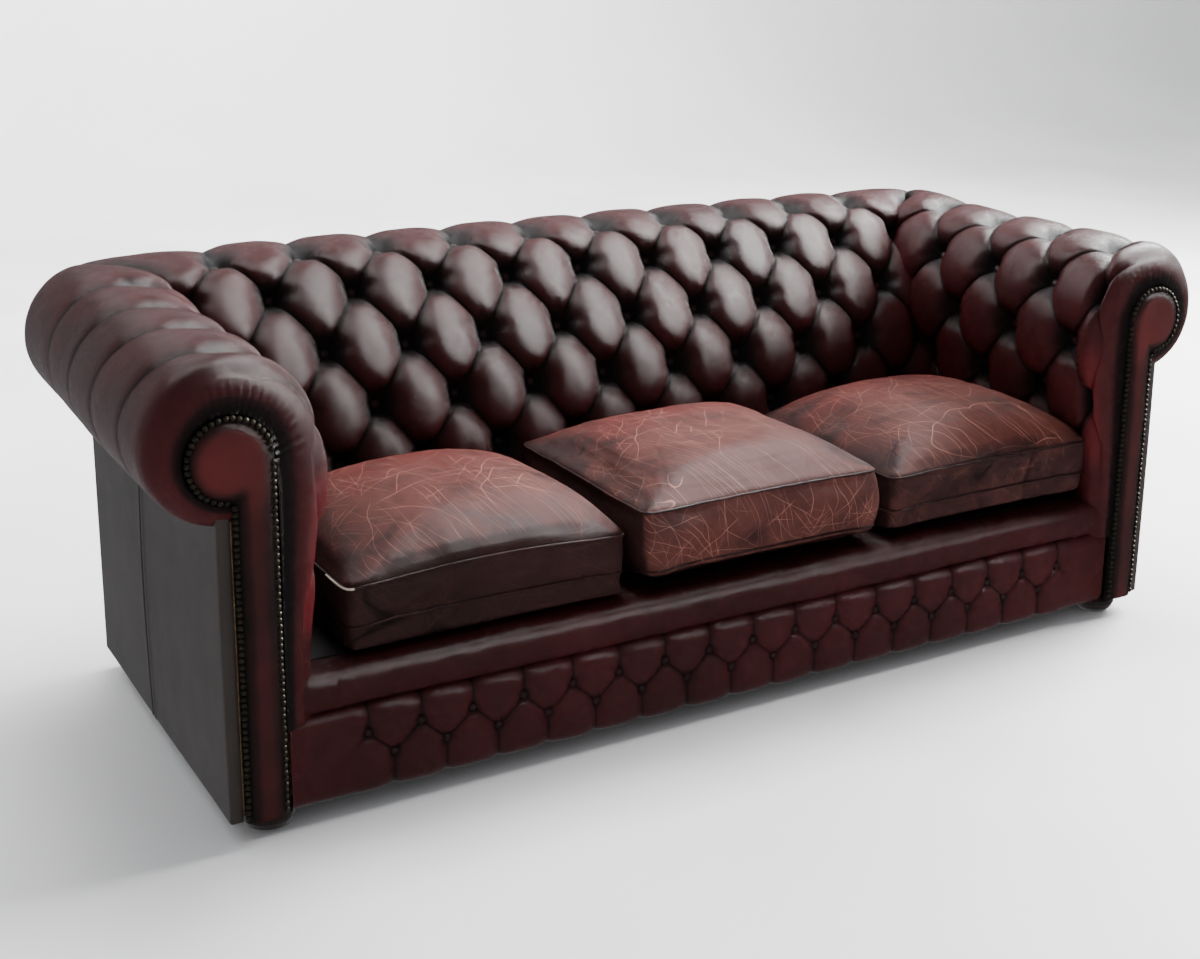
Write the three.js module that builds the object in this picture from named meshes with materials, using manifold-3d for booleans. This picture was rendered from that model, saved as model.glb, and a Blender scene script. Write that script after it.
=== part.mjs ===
// A three-seat sofa with deep-buttoned inside back and arms, rolled arms and back at one
// height, scroll-shaped arm facings, a buttoned front border and three loose seat cushions.
// Units are millimetres. +Z is up, -Y is the front, +X is the viewer's right from the front.
// The origin is on the floor, under the middle of the sofa.
import * as THREE from 'three';
import { mergeVertices } from 'three/addons/utils/BufferGeometryUtils.js';
import Module from 'manifold-3d';

const wasm = await Module();
wasm.setup();

// ---------------------------------------------------------------- driving dimensions
const GAP = 0.3;                 // clearance between touching pieces

// the rolls that run along both arms and the back
const ARM_ROLL_X = 898;          // centre line of an arm roll, from the middle
const ARM_ROLL_Z = 604;
const ARM_ROLL_R = 130;
const BACK_ROLL_Y = 300;         // centre line of the back roll
const BACK_ROLL_Z = 614;
const BACK_ROLL_R = 137;
const ARM_PADDING = 38;          // stuffing and leather over the frame
const BACK_PADDING = 42;
const CORNER_R = 150;            // plan radius of the two back corners

// the box of the sofa below the rolls
const SKIRT_Z = 36;              // lower edge of the leather, above the floor
const SIDE_X = 920;              // outer face of the outside arms
const BACK_Y = 287;              // outer face of the outside back
const FRONT_Y = -424;            // front face of the border and of the wrapped corners
const PANEL = 4;                 // leather and lining board of the outside panels
const FACING_FRONT_Y = -437;     // front of the padded arm facings
const COVER_FRONT_Y = -420;      // front end of the arm covers
const LIP_Z = 170;               // joint between border and lip
const SEAT_Z = 238;              // top of the lip and the deck, where the cushions lie
const ARM_INNER_X = 812;         // inside arm at the seat
const BORDER_X = 828;            // half length of the front border

// hardwood frame
const FRAME_Z = 44.3;            // underside of the frame
const RAIL_TOP = 166;            // top of the seat rails
const RAIL_T = 33;               // thickness of front and back rail
const FRONT_RAIL_Y = -395.7;     // front face of the front rail
const BACK_RAIL_Y = 247;         // front face of the back rail
const SIDE_RAIL_X = 868;         // inner face of a side rail
const SIDE_RAIL_T = 28;
const POST_INNER_X = 842.3;      // scroll-shaped front posts
const POST_OUTER_X = 908;
const SCROLL_BOARD_R = 86;
const TOP_RAIL = 50;             // square section of the rails inside the rolls
const TOP_RAIL_Z = 579;

// arm facings
const FACING_INNER_X = 830;
const FACING_OUTER_X = 899;
const FACING_DISC_Z = 588;
const FACING_DISC_R = 64;

// feet
const FOOT_X = 850;
const FOOT_R = 40;
const FOOT_TOP_R = 18;          // neck, inside the leather skirt
const FOOT_H = 44;
const BOLT_R = 4;
const BOLT_Z = [12.5, 108];

// loose seat cushions: middle, front and back edge, height of the front top edge
const CUSHION_W = 502;
const CUSHION_BACK_Y = 40;
const CUSHIONS = [
  { name: 'cushion_left', x: -478, frontY: -402, edgeZ: 352, crownZ: 422, frontLift: 0 },
  { name: 'cushion_middle', x: 35, frontY: -418, edgeZ: 392, crownZ: 440, frontLift: 24 },
  { name: 'cushion_right', x: 547, frontY: -408, edgeZ: 356, crownZ: 422, frontLift: 0 },
];

// elastic webbing of the seat
const STRAPS = 9;
const STRAP_PITCH = 165;
const STRAP_W = 50;
const STRAP_T = 3;

// ---------------------------------------------------------------- materials
const material = (color, roughness, metalness = 0) =>
  new THREE.MeshStandardMaterial({ color, roughness, metalness });
const oxblood = material(0x4a1c1b, 0.45);
const facingLeather = material(0x561a1a, 0.45);
const seatLeather = material(0x7a3a2c, 0.5);
const panelLeather = material(0x3a2522, 0.5);
const hardwood = material(0xb08a5a, 0.7);
const darkWood = material(0x2a1a14, 0.4);
const steel = material(0x8c8f94, 0.4, 1);
const webbing = material(0x8d7a5b, 0.95);
const deckCloth = material(0x2b2522, 0.95);
const dustCloth = material(0x171717, 1);

// ---------------------------------------------------------------- helpers
const sofa = new THREE.Group();
sofa.name = 'sofa';

function add(name, geometry, mat) {
  const mesh = new THREE.Mesh(geometry, mat);
  mesh.name = name;
  sofa.add(mesh);
}

function boxGeometry([x0, x1], [y0, y1], [z0, z1]) {
  const geometry = new THREE.BoxGeometry(x1 - x0, y1 - y0, z1 - z0);
  return geometry.translate((x0 + x1) / 2, (y0 + y1) / 2, (z0 + z1) / 2);
}

// the same piece on the left (side -1) or right (side +1)
const mirrored = (side, [x0, x1]) => (side > 0 ? [x0, x1] : [-x1, -x0]);

function toSolid(geometry) {
  const bare = geometry.clone();
  bare.deleteAttribute('normal');
  bare.deleteAttribute('uv');
  const merged = mergeVertices(bare, 1e-4);
  return new wasm.Manifold(new wasm.Mesh({
    numProp: 3,
    vertProperties: new Float32Array(merged.attributes.position.array),
    triVerts: new Uint32Array(merged.index.array),
  }));
}

function toGeometry(solid) {
  const mesh = solid.getMesh();
  const geometry = new THREE.BufferGeometry();
  geometry.setAttribute('position', new THREE.BufferAttribute(mesh.vertProperties, 3));
  geometry.setIndex(new THREE.BufferAttribute(mesh.triVerts, 1));
  geometry.computeVertexNormals();
  return geometry;
}

const extrude = (shape, depth, extra = {}) =>
  new THREE.ExtrudeGeometry(shape, { depth, bevelEnabled: false, curveSegments: 10, ...extra });

// outline in (x, z), extruded from y0 back to y1
function extrudeAlongY(shape, y0, y1, extra) {
  return extrude(shape, y1 - y0, extra).rotateX(Math.PI / 2).translate(0, y1, 0);
}

// outline in (y, z), extruded from x0 to x1
function extrudeAlongX(shape, x0, x1, extra) {
  const turn = new THREE.Matrix4().makeBasis(
    new THREE.Vector3(0, 1, 0), new THREE.Vector3(0, 0, 1), new THREE.Vector3(1, 0, 0));
  return extrude(shape, x1 - x0, extra).applyMatrix4(turn).translate(x0, 0, 0);
}

const shapeOf = (points) => new THREE.Shape(points.map(([a, b]) => new THREE.Vector2(a, b)));

// points on a circle, angles in degrees from +a towards +b
function arc([a, b], r, from, to, steps) {
  return Array.from({ length: steps + 1 }, (_, i) => {
    const t = THREE.MathUtils.degToRad(from + (to - from) * i / steps);
    return [a + r * Math.cos(t), b + r * Math.sin(t)];
  });
}

// ---------------------------------------------------------------- padded covers
// Each cover is a C: up the inside, over the roll and round to the outside panel, open
// towards the frame. Outlines are written with a = distance outward and b = height, and the
// inner face goes no further out than the board that it's nailed to.
function coverOutline({ inside, centre, radius, padding, panel, board = Infinity }) {
  const inner = radius - padding;
  const endAngle = (r) => THREE.MathUtils.radToDeg(-Math.acos((panel - centre[0]) / r));
  const hollow = inside.map(([a, b]) => [Math.min(a + padding, board), b]).reverse();
  return shapeOf([
    ...inside,
    ...arc(centre, radius, 180 - 12, endAngle(radius), 22),
    ...arc(centre, inner, endAngle(inner), 180, 16),
    ...hollow,
  ]);
}

// the arm covers stop at a mitre on the back corners, square to the back cover
function planPrism(points) {
  return toSolid(extrude(shapeOf(points), 900).translate(0, 0, 0));
}

function roundedPlan() {
  const x = ARM_ROLL_X + ARM_ROLL_R;
  const y = BACK_ROLL_Y + BACK_ROLL_R;
  const r = CORNER_R;
  return planPrism([
    [-x, FACING_FRONT_Y], [x, FACING_FRONT_Y],
    ...arc([x - r, y - r], r, 0, 90, 8),
    ...arc([r - x, y - r], r, 90, 180, 8),
  ]);
}

const mitre = (x) => BACK_ROLL_Y + (x - ARM_ROLL_X);   // y of the mitre line at x
const ARM_INSIDE = [
  [ARM_INNER_X, LIP_Z + 2.3], [ARM_INNER_X, 250], [808, 300], [802, 362], [788, 420],
  [772, 500], [ARM_ROLL_X - ARM_ROLL_R, 570],
];
const BACK_INSIDE = [
  [50, 212], [48, 240], [48, 385], [76, 480], [117, 574],
];
const BACK_HALF = ARM_ROLL_X - ARM_ROLL_R - 3;         // half length of the inside back
const STUFF_RAIL_Z = [214, 258];
const BACK_STUFF_Y = [108, 136];

// the leather drawn in round the front of the roll, over the board and under the facing
function gatheredFront() {
  const ring = shapeOf(arc([ARM_ROLL_X, ARM_ROLL_Z], ARM_ROLL_R - 2, 0, 348, 29));
  const rim = new THREE.Path(arc([ARM_ROLL_X, FACING_DISC_Z], FACING_DISC_R - 6, 0, 345, 23)
    .map(([a, b]) => new THREE.Vector2(a, b)));
  ring.holes.push(rim);
  const sheet = toSolid(extrudeAlongY(ring, FRONT_Y, COVER_FRONT_Y + 0.7));
  const stemRoom = toSolid(boxGeometry([ARM_ROLL_X - FACING_DISC_R, SIDE_X + GAP],
    [FRONT_Y - 10, COVER_FRONT_Y + 10], [400, FACING_DISC_Z - 30]));
  return sheet.subtract(stemRoom);
}

function armCover(side) {
  const outline = coverOutline({
    inside: ARM_INSIDE, centre: [ARM_ROLL_X, ARM_ROLL_Z], radius: ARM_ROLL_R,
    padding: ARM_PADDING, panel: SIDE_X + GAP, board: POST_INNER_X - GAP,
  });
  const whole = toSolid(extrudeAlongY(outline, COVER_FRONT_Y, 460));
  const near = BACK_HALF + 2 * GAP;
  const far = ARM_ROLL_X + ARM_ROLL_R + 10;
  const plan = planPrism([
    [near, COVER_FRONT_Y - 10], [far, COVER_FRONT_Y - 10],
    [far, mitre(far) - GAP], [near, mitre(near) - GAP],
  ]);
  // the inside arm is slit where the lower back rail passes through it
  const slit = toSolid(boxGeometry([near - 10, POST_INNER_X],
    [BACK_STUFF_Y[0] - 1, BACK_ROLL_Y], [100, STUFF_RAIL_Z[1] + 1]));
  const solid = whole.intersect(plan).intersect(roundedPlan()).subtract(slit)
    .add(gatheredFront());
  return toGeometry(side > 0 ? solid : solid.mirror([1, 0, 0]));
}

function backCover() {
  const outline = coverOutline({
    inside: BACK_INSIDE, centre: [BACK_ROLL_Y, BACK_ROLL_Z], radius: BACK_ROLL_R,
    padding: BACK_PADDING, panel: BACK_Y + GAP,
  });
  const far = ARM_ROLL_X + ARM_ROLL_R + 10;
  const whole = toSolid(extrudeAlongX(outline, -far, far));
  const plan = planPrism([
    [-BACK_HALF, 0], [BACK_HALF, 0], [BACK_HALF, mitre(BACK_HALF) + GAP],
    [far, mitre(far) + GAP], [-far, mitre(far) + GAP], [-BACK_HALF, mitre(BACK_HALF) + GAP],
  ]);
  return toGeometry(whole.intersect(plan).intersect(roundedPlan()));
}

add('cover_back', backCover(), oxblood);
add('cover_arm_left', armCover(-1), oxblood);
add('cover_arm_right', armCover(1), oxblood);

// ---------------------------------------------------------------- arm facings
function facing(side) {
  const s = (points) => points.map(([a, b]) => [a * side, b]);
  const outline = shapeOf(s([
    [FACING_INNER_X, SKIRT_Z], [FACING_OUTER_X, SKIRT_Z],
    ...arc([ARM_ROLL_X, FACING_DISC_Z], FACING_DISC_R, -89, 178, 22),
  ]));
  return extrudeAlongY(outline, FACING_FRONT_Y, COVER_FRONT_Y - GAP - PANEL);
}

// ---------------------------------------------------------------- outside panels
// leather over board; the outside arm turns the front corner and ends under the facing
function outsideArm(side) {
  const x = SIDE_X;
  const plan = [
    [x - PANEL, COVER_FRONT_Y - GAP], [FACING_OUTER_X + GAP, COVER_FRONT_Y - GAP],
    [FACING_OUTER_X + GAP, FRONT_Y], [x, FRONT_Y], [x, BACK_Y], [x - PANEL, BACK_Y],
  ].map(([a, b]) => [a * side, b]);
  return extrude(shapeOf(plan), 500 - SKIRT_Z).translate(0, 0, SKIRT_Z);
}

for (const [side, word] of [[-1, 'left'], [1, 'right']]) {
  add(`facing_${word}`, facing(side), facingLeather);
  add(`outside_arm_${word}`, outsideArm(side), panelLeather);
}
add('outside_back', boxGeometry([-(SIDE_X - PANEL - GAP), SIDE_X - PANEL - GAP],
  [BACK_Y - PANEL, BACK_Y], [SKIRT_Z, 500]), panelLeather);

// ---------------------------------------------------------------- front border and lip
const PADDED_BACK_Y = FRONT_RAIL_Y - GAP;
add('front_border', boxGeometry([-BORDER_X, BORDER_X], [FRONT_Y, PADDED_BACK_Y],
  [SKIRT_Z, LIP_Z]), oxblood);

const LIP_BACK_Y = -362;
const LIP_R = 26;
const lipOutline = shapeOf([
  [FRONT_Y + 4, LIP_Z + GAP], [LIP_BACK_Y, LIP_Z + GAP], [LIP_BACK_Y, SEAT_Z],
  ...arc([FRONT_Y + LIP_R, SEAT_Z - LIP_R], LIP_R, 90, 180, 6),
]);
add('front_lip', extrudeAlongX(lipOutline, -(ARM_INNER_X - 4), ARM_INNER_X - 4), oxblood);

// ---------------------------------------------------------------- seat deck, webbing, lining
add('seat_deck', boxGeometry([-(ARM_INNER_X - 4), ARM_INNER_X - 4],
  [LIP_BACK_Y + GAP, BACK_INSIDE[0][0] - 4], [210, SEAT_Z]), deckCloth);

for (let i = 0; i < STRAPS; i += 1) {
  const x = (i - (STRAPS - 1) / 2) * STRAP_PITCH;
  add(`seat_strap_${i + 1}`, boxGeometry([x - STRAP_W / 2, x + STRAP_W / 2],
    [LIP_BACK_Y - RAIL_T + 8, BACK_RAIL_Y + RAIL_T - 8],
    [RAIL_TOP + GAP, RAIL_TOP + GAP + STRAP_T]), webbing);
}

const FOOT_Y = [FRONT_RAIL_Y + RAIL_T / 2, BACK_RAIL_Y + RAIL_T / 2];

function dustCover() {
  const sheet = toSolid(boxGeometry([-905, 905], [-394, 278],
    [FRAME_Z - 2.6, FRAME_Z - GAP]));
  const holes = [-1, 1].flatMap((side) => FOOT_Y.map((y) => toSolid(
    new THREE.CylinderGeometry(FOOT_TOP_R + 2, FOOT_TOP_R + 2, 20, 24)
      .rotateX(Math.PI / 2).translate(side * FOOT_X, y, FRAME_Z))));
  return toGeometry(holes.reduce((solid, hole) => solid.subtract(hole), sheet));
}
add('dust_cover', dustCover(), dustCloth);

// ---------------------------------------------------------------- hardwood frame
const boltBore = (y) => [-1, 1].map((side) => toSolid(
  new THREE.CylinderGeometry(BOLT_R + GAP, BOLT_R + GAP, BOLT_Z[1] + 2, 16)
    .rotateX(Math.PI / 2).translate(side * FOOT_X, y, BOLT_Z[1] / 2)));

function seatRail(y0, footY) {
  const half = SIDE_RAIL_X - GAP;
  const rail = toSolid(boxGeometry([-half, half], [y0, y0 + RAIL_T], [FRAME_Z, RAIL_TOP]));
  return toGeometry(boltBore(footY).reduce((solid, bore) => solid.subtract(bore), rail));
}
add('front_rail', seatRail(FRONT_RAIL_Y, FOOT_Y[0]), hardwood);
add('back_rail', seatRail(BACK_RAIL_Y, FOOT_Y[1]), hardwood);

// front posts: a straight stem and a round head that the arm roll is gathered over
function frontPost(side) {
  const s = (points) => points.map(([a, b]) => [a * side, b]);
  const stemTop = (x) => ARM_ROLL_Z - Math.sqrt(SCROLL_BOARD_R ** 2 - (x - ARM_ROLL_X) ** 2);
  const angle = (x) => THREE.MathUtils.radToDeg(
    Math.atan2(stemTop(x) - ARM_ROLL_Z, x - ARM_ROLL_X));
  const outline = shapeOf(s([
    [POST_INNER_X, FRAME_Z], [POST_OUTER_X, FRAME_Z],
    ...arc([ARM_ROLL_X, ARM_ROLL_Z], SCROLL_BOARD_R, angle(POST_OUTER_X),
      360 + angle(POST_INNER_X), 26),
  ]));
  return extrudeAlongY(outline, COVER_FRONT_Y + 1, FRONT_RAIL_Y - GAP);
}

// triangular braces glued into the corners of the seat frame
const BRACE = 70;
const BRACE_Z = [70, 140];
function cornerBrace(side, front) {
  const x = SIDE_RAIL_X - 2 * GAP;
  const y = front ? FRONT_RAIL_Y + RAIL_T + GAP : BACK_RAIL_Y - GAP;
  const into = front ? BRACE : -BRACE;
  const plan = [[x, y], [x - BRACE, y], [x, y + into]].map(([a, b]) => [a * side, b]);
  return extrude(shapeOf(plan), BRACE_Z[1] - BRACE_Z[0]).translate(0, 0, BRACE_Z[0]);
}

const topRailX = [ARM_ROLL_X - TOP_RAIL / 2, ARM_ROLL_X + TOP_RAIL / 2];
const topRailZ = [TOP_RAIL_Z, TOP_RAIL_Z + TOP_RAIL];
const backTopY = [BACK_ROLL_Y - 38, BACK_ROLL_Y - 38 + TOP_RAIL];
const backRailY = [BACK_RAIL_Y, BACK_RAIL_Y + RAIL_T];
const behindPost = FRONT_RAIL_Y;
const STUFF_RAIL_X = [POST_INNER_X + 0.7, POST_INNER_X + 22];

for (const [side, word] of [[-1, 'left'], [1, 'right']]) {
  const railX = mirrored(side, [SIDE_RAIL_X, SIDE_RAIL_X + SIDE_RAIL_T]);
  add(`side_rail_${word}`, boxGeometry(railX,
    [behindPost, BACK_RAIL_Y - GAP], [FRAME_Z, RAIL_TOP]), hardwood);
  add(`front_post_${word}`, frontPost(side), hardwood);
  add(`back_post_${word}`, boxGeometry(mirrored(side, [SIDE_RAIL_X, POST_OUTER_X]),
    backRailY, [FRAME_Z, TOP_RAIL_Z - GAP]), hardwood);
  add(`arm_top_rail_${word}`, boxGeometry(mirrored(side, topRailX),
    [behindPost, backTopY[1]], topRailZ), hardwood);
  add(`arm_stuff_rail_${word}`, boxGeometry(mirrored(side, STUFF_RAIL_X),
    [behindPost, BACK_RAIL_Y - GAP], STUFF_RAIL_Z), hardwood);
  add(`back_upright_${word}`, boxGeometry(mirrored(side, [280, 320]),
    backRailY, [RAIL_TOP + 4, TOP_RAIL_Z - GAP]), hardwood);
  add(`seat_stretcher_${word}`, boxGeometry(mirrored(side, [250, 278]),
    [FRONT_RAIL_Y + RAIL_T + GAP, BACK_RAIL_Y - GAP], [FRAME_Z, 100]), hardwood);
  add(`brace_front_${word}`, cornerBrace(side, true), hardwood);
  add(`brace_back_${word}`, cornerBrace(side, false), hardwood);
}
add('back_top_rail', boxGeometry([-(topRailX[0] - GAP), topRailX[0] - GAP],
  backTopY, topRailZ), hardwood);
add('back_stuff_rail', boxGeometry([-(STUFF_RAIL_X[0] - GAP), STUFF_RAIL_X[0] - GAP],
  BACK_STUFF_Y, STUFF_RAIL_Z), hardwood);

// ---------------------------------------------------------------- feet
// turned bun feet, each on a bolt that runs up into the rail above it
const footProfile = [
  [0, BOLT_Z[0] - GAP], [BOLT_R + GAP, BOLT_Z[0] - GAP], [BOLT_R + GAP, FOOT_H],
  [FOOT_TOP_R, FOOT_H], [FOOT_TOP_R, 34], [FOOT_R - 6, 32],
  [FOOT_R, 25], [FOOT_R, 17], [FOOT_R - 5, 7], [FOOT_R - 13, 0], [0, 0],
].reverse();

for (const [y, end] of [[FOOT_Y[0], 'front'], [FOOT_Y[1], 'back']]) {
  for (const [side, word] of [[-1, 'left'], [1, 'right']]) {
    const foot = new THREE.LatheGeometry(
      footProfile.map(([r, z]) => new THREE.Vector2(r, z)), 28);
    add(`foot_${end}_${word}`, foot.rotateX(Math.PI / 2).translate(side * FOOT_X, y, 0),
      darkWood);
    const bolt = new THREE.CylinderGeometry(BOLT_R, BOLT_R, BOLT_Z[1] - BOLT_Z[0], 12);
    add(`foot_bolt_${end}_${word}`, bolt.rotateX(Math.PI / 2)
      .translate(side * FOOT_X, y, (BOLT_Z[0] + BOLT_Z[1]) / 2), steel);
  }
}

// ---------------------------------------------------------------- loose seat cushions
// A box whose top swells: low at the rounded front edge, high over the middle and back.
function cushion({ x, frontY, edgeZ, crownZ, frontLift }) {
  const depth = CUSHION_BACK_Y - frontY;
  const height = edgeZ - SEAT_Z;
  const geometry = new THREE.BoxGeometry(CUSHION_W, depth, height, 8, 8, 3);
  const p = geometry.attributes.position;
  for (let i = 0; i < p.count; i += 1) {
    const u = 2 * p.getX(i) / CUSHION_W;               // -1 left to +1 right
    const v = 0.5 + p.getY(i) / depth;                 // 0 front to 1 back
    const w = 0.5 + p.getZ(i) / height;                // 0 bottom to 1 top
    const across = 1 - u ** 4;
    const along = Math.sin(Math.min(1, 1.5 * v) * Math.PI / 2);
    const crown = (crownZ - edgeZ) * across * along * w;
    const lift = frontLift * Math.max(0, 1 - 5 * v) * (1 - w);
    p.setZ(i, SEAT_Z + 0.5 + w * (height - 0.5) + crown + lift);
    p.setX(i, x + p.getX(i));
    p.setY(i, frontY + v * depth);
  }
  return geometry;
}
for (const one of CUSHIONS) add(one.name, cushion(one), seatLeather);

export default sofa;
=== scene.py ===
# %% [markdown]
# # A worn leather sofa with a buttoned back
# This lesson builds the looks of a three-seat sofa around a frame that is already made: its
# rails, feet and the plain solids that stand for its padding. Each cell makes one thing and
# prints what it made. Lengths are metres, +Z is up and the sofa faces -Y.

# %% Load the frame
import math

import bpy
import numpy as np
from mathutils import Matrix, Vector
from mathutils.bvhtree import BVHTree


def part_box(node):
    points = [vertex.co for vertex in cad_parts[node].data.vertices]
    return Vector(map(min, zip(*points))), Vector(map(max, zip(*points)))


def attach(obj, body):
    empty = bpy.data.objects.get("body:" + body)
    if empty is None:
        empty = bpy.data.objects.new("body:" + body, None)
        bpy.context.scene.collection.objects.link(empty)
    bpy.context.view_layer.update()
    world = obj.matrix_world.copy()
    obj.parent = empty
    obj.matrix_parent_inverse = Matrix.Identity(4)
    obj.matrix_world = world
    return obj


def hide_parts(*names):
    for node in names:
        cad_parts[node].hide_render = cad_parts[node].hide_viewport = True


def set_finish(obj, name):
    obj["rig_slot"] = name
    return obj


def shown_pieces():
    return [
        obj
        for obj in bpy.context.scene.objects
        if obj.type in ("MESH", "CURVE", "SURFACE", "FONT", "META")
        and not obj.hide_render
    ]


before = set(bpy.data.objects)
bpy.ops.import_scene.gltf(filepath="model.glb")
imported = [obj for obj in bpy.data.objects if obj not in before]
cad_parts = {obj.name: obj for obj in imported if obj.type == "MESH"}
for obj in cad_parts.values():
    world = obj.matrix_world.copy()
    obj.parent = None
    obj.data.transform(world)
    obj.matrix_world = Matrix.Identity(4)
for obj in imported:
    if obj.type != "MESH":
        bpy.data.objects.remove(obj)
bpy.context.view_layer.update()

# %% [markdown]
# ## The camera
# The camera stands in front of the sofa's left end and looks slightly down, about 30 degrees
# round from the front. A long lens keeps the near arm from looking too big. The view reaches a
# little further below the lens axis than above it, which a small vertical shift gives.

# %% Camera
SENSOR_WIDTH = 36                # millimetres


def place_camera(place, yaw, pitch, roll, focal_widths, centre_rise):
    """Yaw turns from +Y towards +X, pitch up is positive, roll is clockwise, all in degrees.
    focal_widths is the focal length in sensor widths, centre_rise the shift in widths."""
    yaw, pitch, roll = (math.radians(a) for a in (yaw, pitch, roll))
    forward = Vector((math.sin(yaw) * math.cos(pitch), math.cos(yaw) * math.cos(pitch),
                      math.sin(pitch)))
    level = Vector((math.cos(yaw), -math.sin(yaw), 0))
    above = level.cross(forward)
    right = level * math.cos(roll) + above * math.sin(roll)
    up = above * math.cos(roll) - level * math.sin(roll)
    lens = bpy.data.cameras.new("camera")
    lens.sensor_width = SENSOR_WIDTH
    lens.lens = focal_widths * SENSOR_WIDTH
    lens.shift_y = centre_rise
    camera = bpy.data.objects.new("camera", lens)
    turn = Matrix((right, up, -forward)).transposed().to_4x4()
    camera.matrix_world = Matrix.Translation(place) @ turn
    bpy.context.scene.collection.objects.link(camera)
    bpy.context.scene.camera = camera
    return camera


camera = place_camera((-1.561, -2.583, 1.306), 30.09, -13.89, 0.46,
                      focal_widths=1.400, centre_rise=-0.116)
print("camera", camera.name, "lens", round(camera.data.lens, 1), "mm")

# %% [markdown]
# ## Mesh helpers
# Every soft piece here is a surface computed with numpy: a grid of points, joined into faces.
# One helper turns arrays into a mesh, and others make the face lists of a grid, so no code
# loops over vertices.

# %% Mesh helpers
def make_piece(name, points, faces, slot, uv=None, marks=None, replaces=(), smooth=True):
    """Points (n, 3) and faces (lists of indices) become a piece that rides on the frame, its
    faces turned outwards: if the mesh encloses a negative volume they are all flipped.
    uv holds two numbers a point, marks is {name: one number a point}."""
    mesh = bpy.data.meshes.new(name)
    mesh.from_pydata(np.asarray(points, float).tolist(), [], [list(f) for f in faces])
    mesh.update()
    corner_point = np.empty(len(mesh.loops), np.int64)
    mesh.loops.foreach_get("vertex_index", corner_point)
    if uv is not None:
        layer = mesh.uv_layers.new(name="UVMap")
        layer.data.foreach_set("uv", np.asarray(uv, np.float32)[corner_point].ravel())
    for mark, values in (marks or {}).items():
        attribute = mesh.attributes.new(mark, "FLOAT", "POINT")
        attribute.data.foreach_set("value", np.asarray(values, np.float32).ravel())
    mesh.polygons.foreach_set("use_smooth", [smooth] * len(mesh.polygons))
    if enclosed_volume(mesh) < 0:
        mesh.flip_normals()
    piece = bpy.data.objects.new(name, mesh)
    bpy.context.scene.collection.objects.link(piece)
    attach(piece, "root")
    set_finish(piece, slot)
    if replaces:
        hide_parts(*replaces)
    return piece


def enclosed_volume(mesh):
    """A sixth of the sum over triangles of corner one dotted with corner two cross three."""
    mesh.calc_loop_triangles()
    corners = np.empty(len(mesh.loop_triangles) * 3, np.int64)
    mesh.loop_triangles.foreach_get("vertices", corners)
    places = np.empty(len(mesh.vertices) * 3)
    mesh.vertices.foreach_get("co", places)
    one, two, three = places.reshape(-1, 3)[corners].reshape(-1, 3, 3).transpose(1, 0, 2)
    return float(np.einsum("ij,ij->i", one, np.cross(two, three)).sum()) / 6


def grid_quads(rows, columns, start=0):
    """Quads of a grid whose points are stored row by row."""
    index = start + np.arange(rows * columns).reshape(rows, columns)
    return np.stack([index[:-1, :-1], index[:-1, 1:], index[1:, 1:], index[1:, :-1]],
                    -1).reshape(-1, 4)


def ring_quads(rings, around, start=0):
    """Quads of rings that close on themselves, stored ring by ring."""
    index = start + np.arange(rings * around).reshape(rings, around)
    after = np.roll(index, -1, axis=1)
    return np.stack([index[:-1], after[:-1], after[1:], index[1:]], -1).reshape(-1, 4)


def slab(front, rear):
    """Two grids of points of the same size, front and rear, joined all round their edge.
    Returns points and faces."""
    rows, columns = front.shape[:2]
    size = rows * columns
    index = np.arange(size).reshape(rows, columns)
    rim = np.concatenate([index[0, :-1], index[:-1, -1], index[-1, :0:-1], index[:0:-1, 0]])
    after = np.roll(rim, -1)
    faces = [*grid_quads(rows, columns).tolist(),
             *grid_quads(rows, columns, size)[:, ::-1].tolist(),
             *np.stack([after, rim, rim + size, after + size], 1).tolist()]
    return np.concatenate([front.reshape(-1, 3), rear.reshape(-1, 3)]), faces


def smooth_path(corners, window, step=0.001):
    """A path through the corners, walked in equal steps and rounded by averaging over window.
    Returns points (n, 2) and the distance walked to each."""
    corners = np.asarray(corners, float)
    legs = np.linalg.norm(np.diff(corners, axis=0), axis=1)
    along = np.concatenate([[0], np.cumsum(legs)])
    steps = np.arange(0, along[-1], step)
    path = np.stack([np.interp(steps, along, corners[:, k]) for k in (0, 1)], 1)
    half = int(window / step / 2)
    for _ in range(2):
        padded = np.concatenate([2 * path[0] - path[half:0:-1], path,
                                 2 * path[-1] - path[-2:-half - 2:-1]])
        total = np.cumsum(np.vstack([[0, 0], padded]), axis=0)
        path = (total[2 * half + 1:] - total[:-2 * half - 1]) / (2 * half + 1)
    walked = np.concatenate([[0], np.cumsum(np.linalg.norm(np.diff(path, axis=0), axis=1))])
    return path, walked


def smoothstep(low, high, value):
    """0 below low, 1 above high, and 3t^2 - 2t^3 between."""
    t = np.clip((value - low) / (high - low), 0, 1)
    return t * t * (3 - 2 * t)


RIPPLE_WAVES = 7
RIPPLE_HEIGHT = 4.2              # few sums of seven sines get higher than this


def ripple(x, y, z=0.0, scale=1.0, seed=0):
    """Smooth uneven waves, about -1 to 1: seven sines in fixed turned directions, added up and
    divided by the height that the sum seldom passes."""
    rng = np.random.default_rng(seed)
    total = 0.0
    for _ in range(RIPPLE_WAVES):
        way = rng.normal(size=3)
        way *= rng.uniform(0.6, 1.7) / np.linalg.norm(way)
        total = total + np.sin((x * way[0] + y * way[1] + z * way[2]) * scale
                               + rng.uniform(0, 2 * math.pi))
    return total / RIPPLE_HEIGHT


print("helpers ready")

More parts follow.
